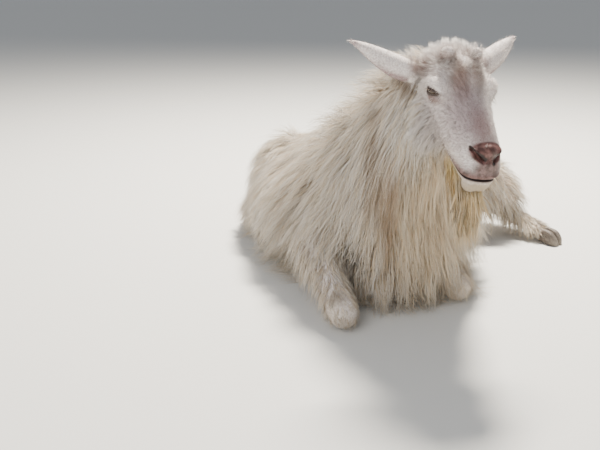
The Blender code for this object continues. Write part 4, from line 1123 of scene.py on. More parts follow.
def grow_coat(skin, forms, bare):
    mesh = skin.data
    points = points_of(mesh)
    outward = normals_of(mesh)
    mesh.calc_loop_triangles()
    triangles = np.empty(len(mesh.loop_triangles) * 3, np.int32)
    mesh.loop_triangles.foreach_get("vertices", triangles)
    triangles = triangles.reshape(-1, 3)
    corners = points[triangles]
    cover = BVHTree.FromPolygons(points.tolist(), triangles.tolist())
    names, labels = label_points(points, outward, forms, make_head_reach())
    face_labels = labels[triangles[:, 0]]
    depth_at = np.zeros(len(points))
    weight_at = np.zeros(len(points))
    for number, name in enumerate(names):
        own = labels == number
        if own.any():
            _, _, depth_at[own], _, weight_at[own], _ = hair_of(
                name, points[own], outward[own], bare[own])
    smooth_depth = depth_at[triangles].mean(1)
    coats = []
    draw = np.random.default_rng(SEED)
    for number, name in enumerate(names):
        own = np.nonzero((face_labels == number) & (weight_at[triangles].mean(1) > 0.05))[0]
        if name not in COAT_COUNTS or not len(own):
            continue
        guide_count, tuft_count = COAT_COUNTS[name]
        weights = weight_at[triangles[own]].mean(1)
        faces, shares = scatter(draw, corners[own], weights, guide_count * 8)
        spots = np.einsum("ij,ijk->ik", shares, corners[own][faces])
        chosen = spread_out(draw, spots, guide_count)
        roots = spots[chosen]
        normals = np.einsum("ij,ijk->ik", shares[chosen], outward[triangles[own][faces[chosen]]])
        normals /= np.linalg.norm(normals, axis=1)[:, None]
        coats += cover_form(name, draw, cover, smooth_depth, roots, normals, own, corners,
                            outward, triangles, weights, tuft_count)
    return coats


def cover_form(name, draw, cover, depth, roots, normals, own, corners, outward, triangles,
               weights, tuft_count):
    """The tufts of one form, each led by the guides whose roots are nearest."""
    none = np.zeros(len(roots))
    length, heading, _, _, _, lift = hair_of(name, roots, normals, none)
    spread = np.where(length > 0.05, 0.24, 0.13)
    heading = heading + draw.normal(0, 1, heading.shape) * spread[:, None]
    paths, ways = [], []
    for index in range(len(roots)):
        size = length[index] * draw.uniform(0.82, 1.12)
        weight = 0.02 if size < 0.02 else 0.10 if size < 0.05 else 0.22
        layer = draw.uniform(0.80, 1.05) if draw.random() < 0.7 else draw.uniform(0.35, 0.80)
        path, facing = hang(cover, depth, roots[index], normals[index], heading[index], size,
                            weight, layer, lift[index], draw)
        paths.append(path)
        ways.append(facing)
    paths = np.array(paths, float)
    ways = np.array(ways, float)
    faces, shares = scatter(draw, corners[own], weights, tuft_count)
    spots = np.einsum("ij,ijk->ik", shares, corners[own][faces])
    out = np.einsum("ij,ijk->ik", shares, outward[triangles[own][faces]])
    out /= np.linalg.norm(out, axis=1)[:, None]
    _, _, _, width, _, _ = hair_of(name, spots, out, np.zeros(len(spots)))
    tree = KDTree(len(roots))
    for index, root in enumerate(roots):
        tree.insert(root, index)
    tree.balance()
    near = np.zeros((len(spots), 3), int)
    gaps = np.zeros((len(spots), 3))
    for index, spot in enumerate(spots):
        found = tree.find_n(spot, 3)
        near[index] = [item[1] for item in found]
        gaps[index] = [item[2] for item in found]
    # guides whose skin faces another way don't lead a tuft
    agree = np.einsum("ik,ijk->ij", out, normals[near])
    pull = np.clip(agree, 0.02, 1) ** 3 / (gaps + 0.003)
    pull /= pull.sum(1)[:, None]
    reach = length[near[:, 0]]
    coats = []
    for kind, rows in ((reach > 0.12, 6), ((reach > 0.05) & (reach <= 0.12), 5), (reach <= 0.05, 4)):
        long = rows > 4
        if not kind.any():
            continue
        chosen = np.nonzero(kind)[0]
        lead = resampled(paths.reshape(len(roots), -1, 3), rows)
        lead_out = resampled(ways.reshape(len(roots), -1, 3), rows)
        moves = lead - lead[:, :1]
        own_move = np.einsum("ij,ijkl->ikl", pull[chosen], moves[near[chosen]])
        size = draw.uniform(0.72, 1.08, len(chosen))
        share = np.linspace(0, 1, rows)[None, :, None]
        start = spots[chosen] - out[chosen] * (0.0012 if long else 0.0005)
        path = start[:, None] + own_move * size[:, None, None]
        first = near[chosen, 0]
        clump = draw.uniform(0.25, 0.80, len(chosen))
        clump = np.where(draw.random(len(chosen)) < 0.10, 0.1, clump)
        stray = draw.normal(0, 1, (len(chosen), 1, 3)) * 0.0035
        target = lead[first] * 1.0
        target = target[:, :1] + (target - target[:, :1]) * size[:, None, None]
        pulled = clump[:, None, None] * share**0.9
        scale = np.clip(length[first] / 0.12, 0.15, 1.2)[:, None, None]
        path = path * (1 - pulled) + (target + stray * scale) * pulled
        sway = draw.normal(0, 1, (len(chosen), 1, 3)) * np.sin(
            share * draw.uniform(4, 11, (len(chosen), 1, 1)) + draw.uniform(0, 6, (len(chosen), 1, 1)))
        path += sway * share**0.8 * 0.0048 * scale**1.3
        path[:, :, 2] = np.maximum(path[:, :, 2], FLOOR + 0.001)
        turned = 0.18 if long else 0.08
        facing = lead_out[first] + draw.normal(0, turned, (len(chosen), 1, 3))
        wide = width[chosen] * draw.uniform(0.7, 1.25, len(chosen))
        label = name + {6: "", 5: "_middle", 4: "_short"}[rows]
        coats += tuft_meshes(label, path, facing, wide, draw.random(len(chosen)),
                             unwrapped(name, spots[chosen]))
    return coats


def make_head_reach():
    """A search tree over the head alone, to tell its roots from the neck's."""
    fall = Matrix.Rotation(-FACE_FALL, 4, "X")
    head = melt(join("reach", [
        skull("skull"), ball("brow", (0, 0.040, -0.045), (0.046, 0.050, 0.030), fall)]), 0.006, 2)
    ears = [make_ear("ear", -1), make_ear("ear", 1)]
    whole = join("reach", [head] + ears)
    grown = [v.co.copy() for v in whole.data.vertices]
    tree = BVHTree.FromPolygons(grown, [f.vertices[:] for f in whole.data.polygons])
    bpy.data.objects.remove(whole, do_unlink=True)
    return tree


# Eyes, lashes and hooves

def eye_centre(side):
    return head_frame() @ Vector((side * EYE_PLACE[0], *EYE_PLACE[1:]))


def eye_gaze(side):
    """The way out of the eye, and the way along its pupil."""
    turn = head_frame().to_3x3()
    out = (turn @ Vector((side * 0.90, 0.38, 0.16))).normalized()
    along = turn @ Vector((0, math.cos(LID_SLOPE), -math.sin(LID_SLOPE)))
    along = (along - out * along.dot(out)).normalized()
    return out, along


def make_eye(name, side):
    """An eyeball whose cornea stands proud over the iris."""
    centre = eye_centre(side)
    out, along = eye_gaze(side)
    square = out.cross(along)
    mesh = bpy.data.meshes.new(name)
    shape = bmesh.new()
    bmesh.ops.create_uvsphere(shape, u_segments=72, v_segments=48, radius=1)
    rows = []
    for vert in shape.verts:
        a, b, c = vert.co
        swell = 0.07 * math.exp(-((a * a + b * b) / 0.34) ** 2) if c > 0 else 0.0
        rows.append((a, b, c))
        vert.co = centre + (along * a + square * b + out * c) * EYE_RADIUS * (1 + swell)
    bmesh.ops.recalc_face_normals(shape, faces=shape.faces)
    shape.to_mesh(mesh)
    shape.free()
    attribute = mesh.attributes.new("gaze", "FLOAT_VECTOR", "POINT")
    attribute.data.foreach_set("vector", np.array(rows, np.float32).ravel())
    mesh.polygons.foreach_set("use_smooth", np.ones(len(mesh.polygons), bool))
    return add_object(name, mesh)


def lid_edge(side, lower=False):
    """Points along the edge of a lid, from the outer corner to the inner one."""
    turn = head_frame()
    found = []
    for step in range(13):
        angle = math.pi * (0.08 + 0.84 * step / 12)
        along = -LID_HALF_LENGTH * math.cos(angle)
        square = LID_HALF_OPENING * math.sin(angle) * (-1 if lower else 1)
        ahead = along * math.cos(LID_SLOPE) + square * math.sin(LID_SLOPE)
        up = square * math.cos(LID_SLOPE) - along * math.sin(LID_SLOPE)
        reach = EYE_RADIUS + LID_THICK
        out = math.sqrt(max(reach * reach - (ahead + 0.003) ** 2 - up * up, 0))
        place = (side * (EYE_PLACE[0] + out), EYE_PLACE[1] + 0.003 + ahead, EYE_PLACE[2] + up)
        found.append(turn @ Vector(place))
    return found


def lash_tree():
    """Tapered hairs set along an edge, pointing one given way with a random spread."""
    tree = bpy.data.node_groups.new("lashes", "GeometryNodeTree")
    sockets = tree.interface
    sockets.new_socket("Geometry", in_out="INPUT", socket_type="NodeSocketGeometry")
    sockets.new_socket("Count", in_out="INPUT", socket_type="NodeSocketInt")
    sockets.new_socket("Length", in_out="INPUT", socket_type="NodeSocketFloat")
    sockets.new_socket("Thickness", in_out="INPUT", socket_type="NodeSocketFloat")
    sockets.new_socket("Way", in_out="INPUT", socket_type="NodeSocketVector")
    sockets.new_socket("Material", in_out="INPUT", socket_type="NodeSocketMaterial")
    sockets.new_socket("Geometry", in_out="OUTPUT", socket_type="NodeSocketGeometry")
    given = tree.nodes.new("NodeGroupInput")
    edge = add_node(tree, "GeometryNodeMeshToCurve", {"Mesh": given.outputs["Geometry"]})
    spots = add_node(tree, "GeometryNodeResampleCurve", {
        "Curve": edge.outputs["Curve"], "Count": given.outputs["Count"]})
    hair = add_node(tree, "GeometryNodeMeshCone", {
        "Vertices": 4, "Side Segments": 4, "Radius Top": 0.0,
        "Radius Bottom": given.outputs["Thickness"], "Depth": given.outputs["Length"]})
    place = add_node(tree, "GeometryNodeInputPosition", {})
    spread = add_node(tree, "FunctionNodeRandomValue", {
        "Min": (-0.35, -0.35, -0.35), "Max": (0.35, 0.35, 0.35), "Seed": SEED},
        data_type="FLOAT_VECTOR")
    way = add_node(tree, "ShaderNodeVectorMath", {
        0: given.outputs["Way"], 1: spread.outputs["Value"]}, operation="ADD")
    turn = add_node(tree, "FunctionNodeAlignEulerToVector", {"Vector": way.outputs["Vector"]},
                    axis="Z")
    size = add_node(tree, "FunctionNodeRandomValue", {2: 0.6, 3: 1.1, "Seed": SEED + 1})
    laid = add_node(tree, "GeometryNodeInstanceOnPoints", {
        "Points": spots.outputs["Curve"], "Instance": hair.outputs["Mesh"],
        "Rotation": turn.outputs["Rotation"], "Scale": size.outputs[1]})
    whole = add_node(tree, "GeometryNodeRealizeInstances", {"Geometry": laid.outputs["Instances"]})
    bend_at = add_node(tree, "ShaderNodeVectorMath", {
        0: place.outputs["Position"], 1: (0, 0, 0)}, operation="ADD")
    moved = add_node(tree, "GeometryNodeSetPosition", {
        "Geometry": whole.outputs["Geometry"], "Position": bend_at.outputs["Vector"]})
    dressed = add_node(tree, "GeometryNodeSetMaterial", {
        "Geometry": moved.outputs["Geometry"], "Material": given.outputs["Material"]})
    end = tree.nodes.new("NodeGroupOutput")
    tree.links.new(dressed.outputs["Geometry"], end.inputs["Geometry"])
    return tree


def make_lashes(tree, material, side, lower):
    points = lid_edge(side, lower)
    name = ("lower" if lower else "upper") + "_lashes_" + ("left" if side > 0 else "right")
    mesh = bpy.data.meshes.new(name)
    mesh.from_pydata(points, [(i, i + 1) for i in range(len(points) - 1)], [])
    obj = add_object(name, mesh)
    grow = obj.modifiers.new("lashes", "NODES")
    grow.node_group = tree
    turn = head_frame().to_3x3()
    way = turn @ Vector((side * 0.8, 0.15, -0.65 if lower else -0.25))
    values = {"Count": 14 if lower else 30, "Length": 0.006 if lower else 0.010,
              "Thickness": 0.00028, "Way": way, "Material": material}
    for item in tree.interface.items_tree:
        if item.in_out == "INPUT" and item.name in values:
            grow[item.identifier] = values[item.name]
    bake_modifiers(obj)
    return obj


def make_hoof(name, rows, sole):
    """A cloven hoof that carries on from the last row of a cannon, with its ridges' places."""
    last, before = Vector(rows[-1][:3]), Vector(rows[-2][:3])
    run = (last - before).normalized()
    coronet = last + (last - before) * 0.02
    down = (sole - run * sole.dot(run)).normalized()
    across = run.cross(down).normalized()
    sides = 40
    claws = []
    for part in (-1, 1):
        rings = []
        for share, half, tall in smooth_rows(HOOF_ROWS, 6):
            # each claw is half of the hoof, closed along a cleft that opens towards the toe
            gap = HOOF_CLEFT * (0.25 + 0.75 * share)
            middle = part * (gap * 0.5 + (half - gap * 0.5) * 0.5)
            own = (half - gap * 0.5) * 0.5
            centre = coronet + run * HOOF_LENGTH * share + down * (HOOF_HEIGHT * 0.5 - tall)
            ring = []
            for side in range(sides):
                turn = 2 * math.pi * side / sides
                place = centre + across * (middle + own * bulge(math.cos(turn), 2.8))
                ring.append(place + down * tall * bulge(math.sin(turn), 2.6))
            rings.append(ring)
        claws.append(skin_rings("claw", rings))
    heel_sizes = (HOOF_ROWS[0][1] * 0.9, 0.016, HOOF_ROWS[0][2] * 0.9)
    heel = bpy.data.meshes.new("heel")
    shape = bmesh.new()
    bmesh.ops.create_uvsphere(shape, u_segments=24, v_segments=16, radius=1)
    turn = Matrix((across, run, down)).transposed().to_4x4()
    place = Matrix.Translation(coronet + run * 0.006) @ turn @ Matrix.Diagonal((*heel_sizes, 1))
    bmesh.ops.transform(shape, matrix=place, verts=shape.verts)
    shape.to_mesh(heel)
    shape.free()
    hoof = melt(join(name, claws + [add_object("heel", heel)]), 0.0012, 2)
    points = points_of(hoof.data)
    points[:, 2] = np.maximum(points[:, 2], 0.0)
    set_points(hoof.data, points)
    rest = points - np.array(coronet)
    places = np.stack([rest @ np.array(way) for way in (run, across, down)], 1) / HOOF_LENGTH
    attribute = hoof.data.attributes.new("horn", "FLOAT_VECTOR", "POINT")
    attribute.data.foreach_set("vector", places.astype(np.float32).ravel())
    hoof.data.polygons.foreach_set("use_smooth", np.ones(len(hoof.data.polygons), bool))
    return hoof


# Finishes

def add_node(tree, kind, inputs, **settings):
    """A node with its settings, and its inputs set to values or linked to sockets."""
    node = tree.nodes.new(kind)
    for name, value in settings.items():
        setattr(node, name, value)
    for key, value in inputs.items():
        if isinstance(value, bpy.types.NodeSocket):
            tree.links.new(value, node.inputs[key])
        else:
            node.inputs[key].default_value = value
    return node


def new_group(name, inputs, outputs):
    group = bpy.data.node_groups.new(name, "ShaderNodeTree")
    for label, kind in inputs:
        group.interface.new_socket(label, in_out="INPUT", socket_type="NodeSocket" + kind)
    for label, kind in outputs:
        group.interface.new_socket(label, in_out="OUTPUT", socket_type="NodeSocket" + kind)
    return group, group.nodes.new("NodeGroupInput"), group.nodes.new("NodeGroupOutput")


def place_group(tree, group, inputs):
    node = add_node(tree, "ShaderNodeGroup", {})
    node.node_tree = group
    for key, value in inputs.items():
        if isinstance(value, bpy.types.NodeSocket):
            tree.links.new(value, node.inputs[key])
        else:
            node.inputs[key].default_value = value
    return node


def mixed(tree, share, low, high, kind="MIX"):
    """A colour between LOW and HIGH."""
    node = add_node(tree, "ShaderNodeMix", {0: share, 6: low, 7: high}, data_type="RGBA",
                    blend_type=kind)
    return node.outputs[2]


def maths(tree, operation, a, b=0.0, c=0.0, clamp=False):
    node = add_node(tree, "ShaderNodeMath", {0: a, 1: b}, operation=operation, use_clamp=clamp)
    if operation == "MULTIPLY_ADD":
        if isinstance(c, bpy.types.NodeSocket):
            tree.links.new(c, node.inputs[2])
        else:
            node.inputs[2].default_value = c
    return node.outputs[0]


def in_range(tree, value, low, high, to_low=0.0, to_high=1.0):
    node = add_node(tree, "ShaderNodeMapRange", {
        "Value": value, "From Min": low, "From Max": high, "To Min": to_low, "To Max": to_high},
        interpolation_type="SMOOTHSTEP")
    return node.outputs[0]


# Markings that skin and coat share: centre, half sizes, softness, colour, strength.
MARKS = [
    # cream throat, chest and beard
    ((0.020, -0.270, 0.230), (0.150, 0.150, 0.200), 0.55, (0.76, 0.60, 0.36), 0.55),
    ((0.020, -0.365, 0.320), (0.070, 0.070, 0.120), 0.45, (0.78, 0.60, 0.33), 0.62),
    # tan locks down the side of the neck
    ((-0.100, -0.150, 0.330), (0.022, 0.050, 0.150), 0.70, (0.27, 0.16, 0.085), 0.68),
    ((-0.080, -0.215, 0.250), (0.018, 0.032, 0.140), 0.70, (0.30, 0.17, 0.085), 0.65),
    # white upper neck under the cheeks
    ((-0.075, -0.250, 0.450), (0.070, 0.070, 0.110), 0.60, (0.90, 0.87, 0.82), 0.80),
    ((0.125, -0.160, 0.320), (0.022, 0.050, 0.140), 0.70, (0.36, 0.24, 0.15), 0.40),
    # dark patches behind the ears
    ((-0.072, -0.230, 0.556), (0.024, 0.024, 0.030), 0.55, (0.20, 0.12, 0.08), 0.80),
    ((0.108, -0.215, 0.560), (0.024, 0.024, 0.030), 0.55, (0.20, 0.12, 0.08), 0.70),
    # horn knobs
    ((-0.016, -0.326, 0.622), (0.020, 0.017, 0.017), 0.50, (0.17, 0.095, 0.075), 0.62),
    ((0.054, -0.314, 0.618), (0.018, 0.017, 0.016), 0.50, (0.20, 0.125, 0.100), 0.55),
    # brown hair over the forehead
    ((0.000, -0.362, 0.580), (0.018, 0.030, 0.044), 0.80, (0.21, 0.105, 0.050), 0.75),
    ((0.042, -0.350, 0.588), (0.020, 0.030, 0.036), 0.80, (0.18, 0.10, 0.060), 0.62),
    # freckled temples
    ((-0.050, -0.280, 0.598), (0.024, 0.026, 0.020), 0.60, (0.20, 0.105, 0.085), 0.70),
    ((0.088, -0.255, 0.600), (0.028, 0.030, 0.022), 0.60, (0.20, 0.105, 0.085), 0.62),
    # lilac and pink bridge of the nose
    ((0.005, -0.395, 0.520), (0.048, 0.075, 0.075), 0.65, (0.22, 0.150, 0.165), 0.72),
    ((0.028, -0.428, 0.488), (0.026, 0.038, 0.050), 0.70, (0.17, 0.075, 0.070), 0.52),
    # shaded, greyer cheeks
    ((-0.045, -0.330, 0.470), (0.045, 0.050, 0.050), 0.70, (0.50, 0.45, 0.45), 0.28),
    # yellowed chin
    ((0.012, -0.425, 0.366), (0.040, 0.038, 0.024), 0.55, (0.34, 0.27, 0.18), 0.80),
    # stain under the corners of the mouth
    ((-0.022, -0.378, 0.400), (0.022, 0.028, 0.022), 0.60, (0.50, 0.42, 0.16), 0.50),
    # worn and dirty knees
    ((-0.206, -0.262, 0.028), (0.050, 0.045, 0.030), 0.60, (0.26, 0.21, 0.16), 0.50),
    ((-0.222, -0.250, 0.074), (0.022, 0.024, 0.018), 0.60, (0.20, 0.15, 0.10), 0.60),
    ((0.122, -0.178, 0.028), (0.050, 0.045, 0.030), 0.60, (0.26, 0.21, 0.16), 0.45),
]


def spot_group():
    group, given, end = new_group("soft_spot", [
        ("Position", "Vector"), ("Centre", "Vector"), ("Size", "Vector"), ("Softness", "Float")],
        [("Mask", "Float")])
    offset = add_node(group, "ShaderNodeVectorMath", {
        0: given.outputs["Position"], 1: given.outputs["Centre"]}, operation="SUBTRACT")
    shrunk = add_node(group, "ShaderNodeVectorMath", {
        0: offset.outputs[0], 1: given.outputs["Size"]}, operation="DIVIDE")
    away = add_node(group, "ShaderNodeVectorMath", {0: shrunk.outputs[0]}, operation="LENGTH")
    outer = maths(group, "ADD", 1.0, given.outputs["Softness"])
    inner = maths(group, "SUBTRACT", 1.0, given.outputs["Softness"])
    mask = in_range(group, away.outputs["Value"], outer, inner)
    group.links.new(mask, end.inputs["Mask"])
    return group


def markings_group(spot):
    """Where the animal is cream, tan, pink or brown: a colour and how strongly it shows."""
    group, given, end = new_group("goat_markings", [
        ("Position", "Vector"), ("Base", "Color")], [("Color", "Color")])
    ragged = add_node(group, "ShaderNodeTexNoise", {
        "Vector": given.outputs["Position"], "Scale": 55.0, "Detail": 3.0})
    centred = add_node(group, "ShaderNodeVectorMath", {
        0: ragged.outputs["Color"], 1: (0.5, 0.5, 0.5)}, operation="SUBTRACT")
    moved = add_node(group, "ShaderNodeVectorMath", {
        0: centred.outputs[0], 1: (0.022, 0.022, 0.022), 2: given.outputs["Position"]},
        operation="MULTIPLY_ADD")
    colour = given.outputs["Base"]
    for centre, size, softness, shade, strength in MARKS:
        mask = place_group(group, spot, {
            "Position": moved.outputs[0], "Centre": centre, "Size": size, "Softness": softness})
        share = maths(group, "MULTIPLY", mask.outputs["Mask"], strength)
        colour = mixed(group, share, colour, (*shade, 1))
    broad = add_node(group, "ShaderNodeTexNoise", {
        "Vector": given.outputs["Position"], "Scale": 7.0, "Detail": 2.0})
    parts = add_node(group, "ShaderNodeSeparateXYZ", {"Vector": given.outputs["Position"]})
    low = in_range(group, parts.outputs["Z"], 0.11, 0.0)
    patch = in_range(group, broad.outputs["Fac"], 0.35, 0.62)
    hem = maths(group, "MULTIPLY", low, maths(group, "MULTIPLY_ADD", patch, 0.40, 0.15))
    colour = mixed(group, hem, colour, (0.52, 0.44, 0.32, 1))
    group.links.new(colour, end.inputs["Color"])
    return group


def new_material(name):
    material = bpy.data.materials.new(name)
    material.use_nodes = True
    tree = material.node_tree
    return material, tree, tree.nodes["Principled BSDF"]


def coat_material(name, markings, root, tip, cream, variety=1.0):
    """Hair whose colour runs from root to tip and changes from tuft to tuft."""
    material, tree, shader = new_material(name)
    place = add_node(tree, "ShaderNodeTexCoord", {}).outputs["Object"]
    strand = add_node(tree, "ShaderNodeAttribute", {}, attribute_name="strand")
    parts = add_node(tree, "ShaderNodeSeparateXYZ", {"Vector": strand.outputs["Vector"]})
    across, along, chance = parts.outputs
    # darker towards the root: partly the hair's own warmer tone, partly painted shade deep in the coat
    # between the locks
    base = mixed(tree, in_range(tree, along, 0.0, 0.85), (*root, 1), (*tip, 1))
    marked = place_group(tree, markings, {"Position": place, "Base": base}).outputs["Color"]
    creamy = in_range(tree, chance, 0.35, 1.0, 0.0, variety)
    marked = mixed(tree, creamy, marked, mixed(tree, 1.0, marked, (*cream, 1), "MULTIPLY"))
    dark = in_range(tree, chance, 0.16, 0.0, 0.0, 0.75 * variety)
    marked = mixed(tree, dark, marked, mixed(tree, 1.0, marked, (0.56, 0.43, 0.30, 1), "MULTIPLY"))
    tree.links.new(marked, shader.inputs["Base Color"])
    rough = maths(tree, "MULTIPLY_ADD", chance, 0.18, 0.46)
    tree.links.new(rough, shader.inputs["Roughness"])
    lines = add_node(tree, "ShaderNodeCombineXYZ", {
        "X": maths(tree, "MULTIPLY", across, 7.0), "Y": maths(tree, "MULTIPLY", along, 2.0),
        "Z": maths(tree, "MULTIPLY", chance, 90.0)})
    hairs = add_node(tree, "ShaderNodeTexNoise", {
        "Vector": lines.outputs["Vector"], "Scale": 1.0, "Detail": 2.0})
    bump = add_node(tree, "ShaderNodeBump", {
        "Height": hairs.outputs["Fac"], "Strength": 0.6, "Distance": 0.0006})
    tree.links.new(bump.outputs["Normal"], shader.inputs["Normal"])
    shader.inputs["Specular IOR Level"].default_value = 0.35
    shader.inputs["Sheen Weight"].default_value = 0.25
    shader.inputs["Sheen Roughness"].default_value = 0.4
    return material


def skin_material(markings):
    """Short flat fur over skin, with bare skin on the nose, lips, lids and ears."""
    material, tree, shader = new_material("skin_and_short_fur")
    place = add_node(tree, "ShaderNodeTexCoord", {}).outputs["Object"]

    def value_of(name):
        return add_node(tree, "ShaderNodeAttribute", {}, attribute_name=name).outputs["Fac"]

    lie = add_node(tree, "ShaderNodeMapping", {
        "Vector": place, "Rotation": (math.radians(-38), 0, 0), "Scale": (330, 45, 330)})
    hairs = add_node(tree, "ShaderNodeTexNoise", {
        "Vector": lie.outputs["Vector"], "Scale": 1.0, "Detail": 3.0})
    streaks = in_range(tree, hairs.outputs["Fac"], 0.36, 0.64)
    base = mixed(tree, streaks, (0.58, 0.50, 0.48, 1), (0.82, 0.77, 0.73, 1))
    colour = place_group(tree, markings, {"Position": place, "Base": base}).outputs["Color"]
    freckles = add_node(tree, "ShaderNodeTexVoronoi", {"Vector": place, "Scale": 330.0})
    fleck = in_range(tree, freckles.outputs["Distance"], 0.34, 0.18)
    tone = add_node(tree, "ShaderNodeTexNoise", {"Vector": place, "Scale": 90.0, "Detail": 3.0})
    fleck = maths(tree, "MULTIPLY", fleck, in_range(tree, tone.outputs["Fac"], 0.48, 0.60))
    mottled = mixed(tree, in_range(tree, tone.outputs["Fac"], 0.36, 0.66),
                    (0.065, 0.026, 0.022, 1), (0.19, 0.090, 0.080, 1))
    lip_tone = mixed(tree, in_range(tree, tone.outputs["Fac"], 0.38, 0.62),
                     (0.070, 0.033, 0.028, 1), (0.20, 0.115, 0.105, 1))
    colour = mixed(tree, maths(tree, "MULTIPLY", value_of("lid_skin"), 0.85), colour,
                   (0.11, 0.050, 0.044, 1))
    # pink-lilac inside the ear: pink skin, partly painted shade in the downturned cup
    colour = mixed(tree, maths(tree, "MULTIPLY", value_of("ear_pink_and_cup_shade"), 0.85), colour,
                   (0.25, 0.150, 0.155, 1))
    colour = mixed(tree, in_range(tree, value_of("lip_skin"), 0.02, 1.05), colour, lip_tone)
    nose = value_of("nose_skin")
    colour = mixed(tree, nose, colour, mottled)
    # dark lid margins, with painted shade at the eye's corners and in the tear groove
    rim = value_of("lid_rim")
    colour = mixed(tree, rim, colour, (0.030, 0.015, 0.012, 1))
    # painted shade: near-black in the crease of the mouth line and in the nostril slits
    slit = value_of("painted_slit_shade")
    colour = mixed(tree, in_range(tree, slit, 0.15, 0.75), colour, (0.016, 0.008, 0.007, 1))
    bridge = place_group(tree, bpy.data.node_groups["soft_spot"], {
        "Position": place, "Centre": (0.018, -0.41, 0.50), "Size": (0.045, 0.075, 0.075),
        "Softness": 0.4}).outputs["Mask"]
    spotted = maths(tree, "MAXIMUM", bridge, value_of("lip_skin"))
    colour = mixed(tree, maths(tree, "MULTIPLY", fleck, maths(tree, "MULTIPLY", spotted, 0.8)),
                   colour, (0.060, 0.020, 0.016, 1))
    tree.links.new(colour, shader.inputs["Base Color"])
    wet = maths(tree, "MAXIMUM", nose, maths(tree, "MAXIMUM", slit, rim))
    rough = in_range(tree, wet, 0.0, 1.0, 0.72, 0.38)
    tree.links.new(rough, shader.inputs["Roughness"])
    pebbles = add_node(tree, "ShaderNodeTexVoronoi", {"Vector": place, "Scale": 620.0})
    bare = maths(tree, "MAXIMUM", nose, value_of("lip_skin"))
    height = add_node(tree, "ShaderNodeMix", {
        0: bare, 2: hairs.outputs["Fac"], 3: pebbles.outputs["Distance"]}, data_type="FLOAT")
    bump = add_node(tree, "ShaderNodeBump", {
        "Height": height.outputs[0], "Strength": 0.7, "Distance": 0.0010})
    tree.links.new(bump.outputs["Normal"], shader.inputs["Normal"])
    shader.inputs["Subsurface Weight"].default_value = 0.0
    shader.inputs["Specular IOR Level"].default_value = 0.4
    return material


def eye_material():
    """Amber iris with fine spokes, a level pupil and a dark rim, under a wet surface."""
    material, tree, shader = new_material("wet_eye")
    gaze = add_node(tree, "ShaderNodeAttribute", {}, attribute_name="gaze").outputs["Vector"]
    parts = add_node(tree, "ShaderNodeSeparateXYZ", {"Vector": gaze})
    x, y, z = parts.outputs
    flat = add_node(tree, "ShaderNodeCombineXYZ", {"X": x, "Y": y})
    away = add_node(tree, "ShaderNodeVectorMath", {0: flat.outputs[0]}, operation="LENGTH")
    away = away.outputs["Value"]
    spokes = add_node(tree, "ShaderNodeTexNoise", {
        "Vector": add_node(tree, "ShaderNodeVectorMath", {0: flat.outputs[0]},
                           operation="NORMALIZE").outputs[0], "Scale": 14.0, "Detail": 2.0})
    iris = mixed(tree, in_range(tree, spokes.outputs["Fac"], 0.3, 0.7),
                 (0.030, 0.014, 0.006, 1), (0.085, 0.044, 0.016, 1))
    iris = mixed(tree, in_range(tree, away, 0.45, 0.62), iris, (0.05, 0.026, 0.015, 1))
    side = maths(tree, "POWER", maths(tree, "ABSOLUTE", maths(tree, "DIVIDE", x, 0.40)), 4.0)
    tall = maths(tree, "POWER", maths(tree, "ABSOLUTE", maths(tree, "DIVIDE", y, 0.16)), 4.0)
    pupil = in_range(tree, maths(tree, "ADD", side, tall), 1.25, 0.85)
    colour = mixed(tree, pupil, iris, (0.006, 0.006, 0.008, 1))
    front = in_range(tree, z, 0.55, 0.75)
    colour = mixed(tree, front, (0.05, 0.025, 0.017, 1), colour)
    tree.links.new(colour, shader.inputs["Base Color"])
    shader.inputs["Roughness"].default_value = 0.12
    shader.inputs["Coat Weight"].default_value = 1.0
    shader.inputs["Coat Roughness"].default_value = 0.02
    return material


def hoof_material():
    """Grey-brown horn with growth ridges, paler at the coronet and scuffed paler at the toe."""
    material, tree, shader = new_material("hoof_horn")
    horn = add_node(tree, "ShaderNodeAttribute", {}, attribute_name="horn").outputs["Vector"]
    parts = add_node(tree, "ShaderNodeSeparateXYZ", {"Vector": horn})
    grain = add_node(tree, "ShaderNodeTexNoise", {
        "Vector": horn, "Scale": 9.0, "Detail": 4.0})
    bent = maths(tree, "MULTIPLY_ADD", grain.outputs["Fac"], 0.10, parts.outputs["X"])
    ridges = maths(tree, "SINE", maths(tree, "MULTIPLY", bent, 75.0))
    stretched = add_node(tree, "ShaderNodeMapping", {"Vector": horn, "Scale": (4, 60, 60)})
    fibres = add_node(tree, "ShaderNodeTexNoise", {
        "Vector": stretched.outputs["Vector"], "Scale": 1.0, "Detail": 3.0})
    colour = mixed(tree, in_range(tree, fibres.outputs["Fac"], 0.35, 0.68),
                   (0.060, 0.048, 0.040, 1), (0.20, 0.165, 0.135, 1))
    colour = mixed(tree, in_range(tree, parts.outputs["X"], 0.55, 1.0, 0.0, 0.6), colour,
                   (0.30, 0.26, 0.21, 1))
    colour = mixed(tree, in_range(tree, parts.outputs["X"], 0.12, 0.0, 0.0, 0.6), colour,
                   (0.42, 0.36, 0.30, 1))
    tree.links.new(colour, shader.inputs["Base Color"])
    rough = maths(tree, "MULTIPLY_ADD", grain.outputs["Fac"], 0.3, 0.38)
    tree.links.new(rough, shader.inputs["Roughness"])
    height = maths(tree, "MULTIPLY_ADD", fibres.outputs["Fac"], 0.8, ridges)
    bump = add_node(tree, "ShaderNodeBump", {
        "Height": height, "Strength": 0.5, "Distance": 0.0006})
    tree.links.new(bump.outputs["Normal"], shader.inputs["Normal"])
    return material


# The light, the floor and the camera

def add_light(name, place, target, size, power, colour):
    light = bpy.data.lights.new(name, "AREA")
    light.shape = "DISK"
    light.size = size
    light.energy = power
    light.color = colour
    obj = bpy.data.objects.new(name, light)
    bpy.context.scene.collection.objects.link(obj)
    obj.location = place
    obj.rotation_mode = "QUATERNION"
    obj.rotation_quaternion = (Vector(target) - Vector(place)).to_track_quat("-Z", "Y")
    return obj


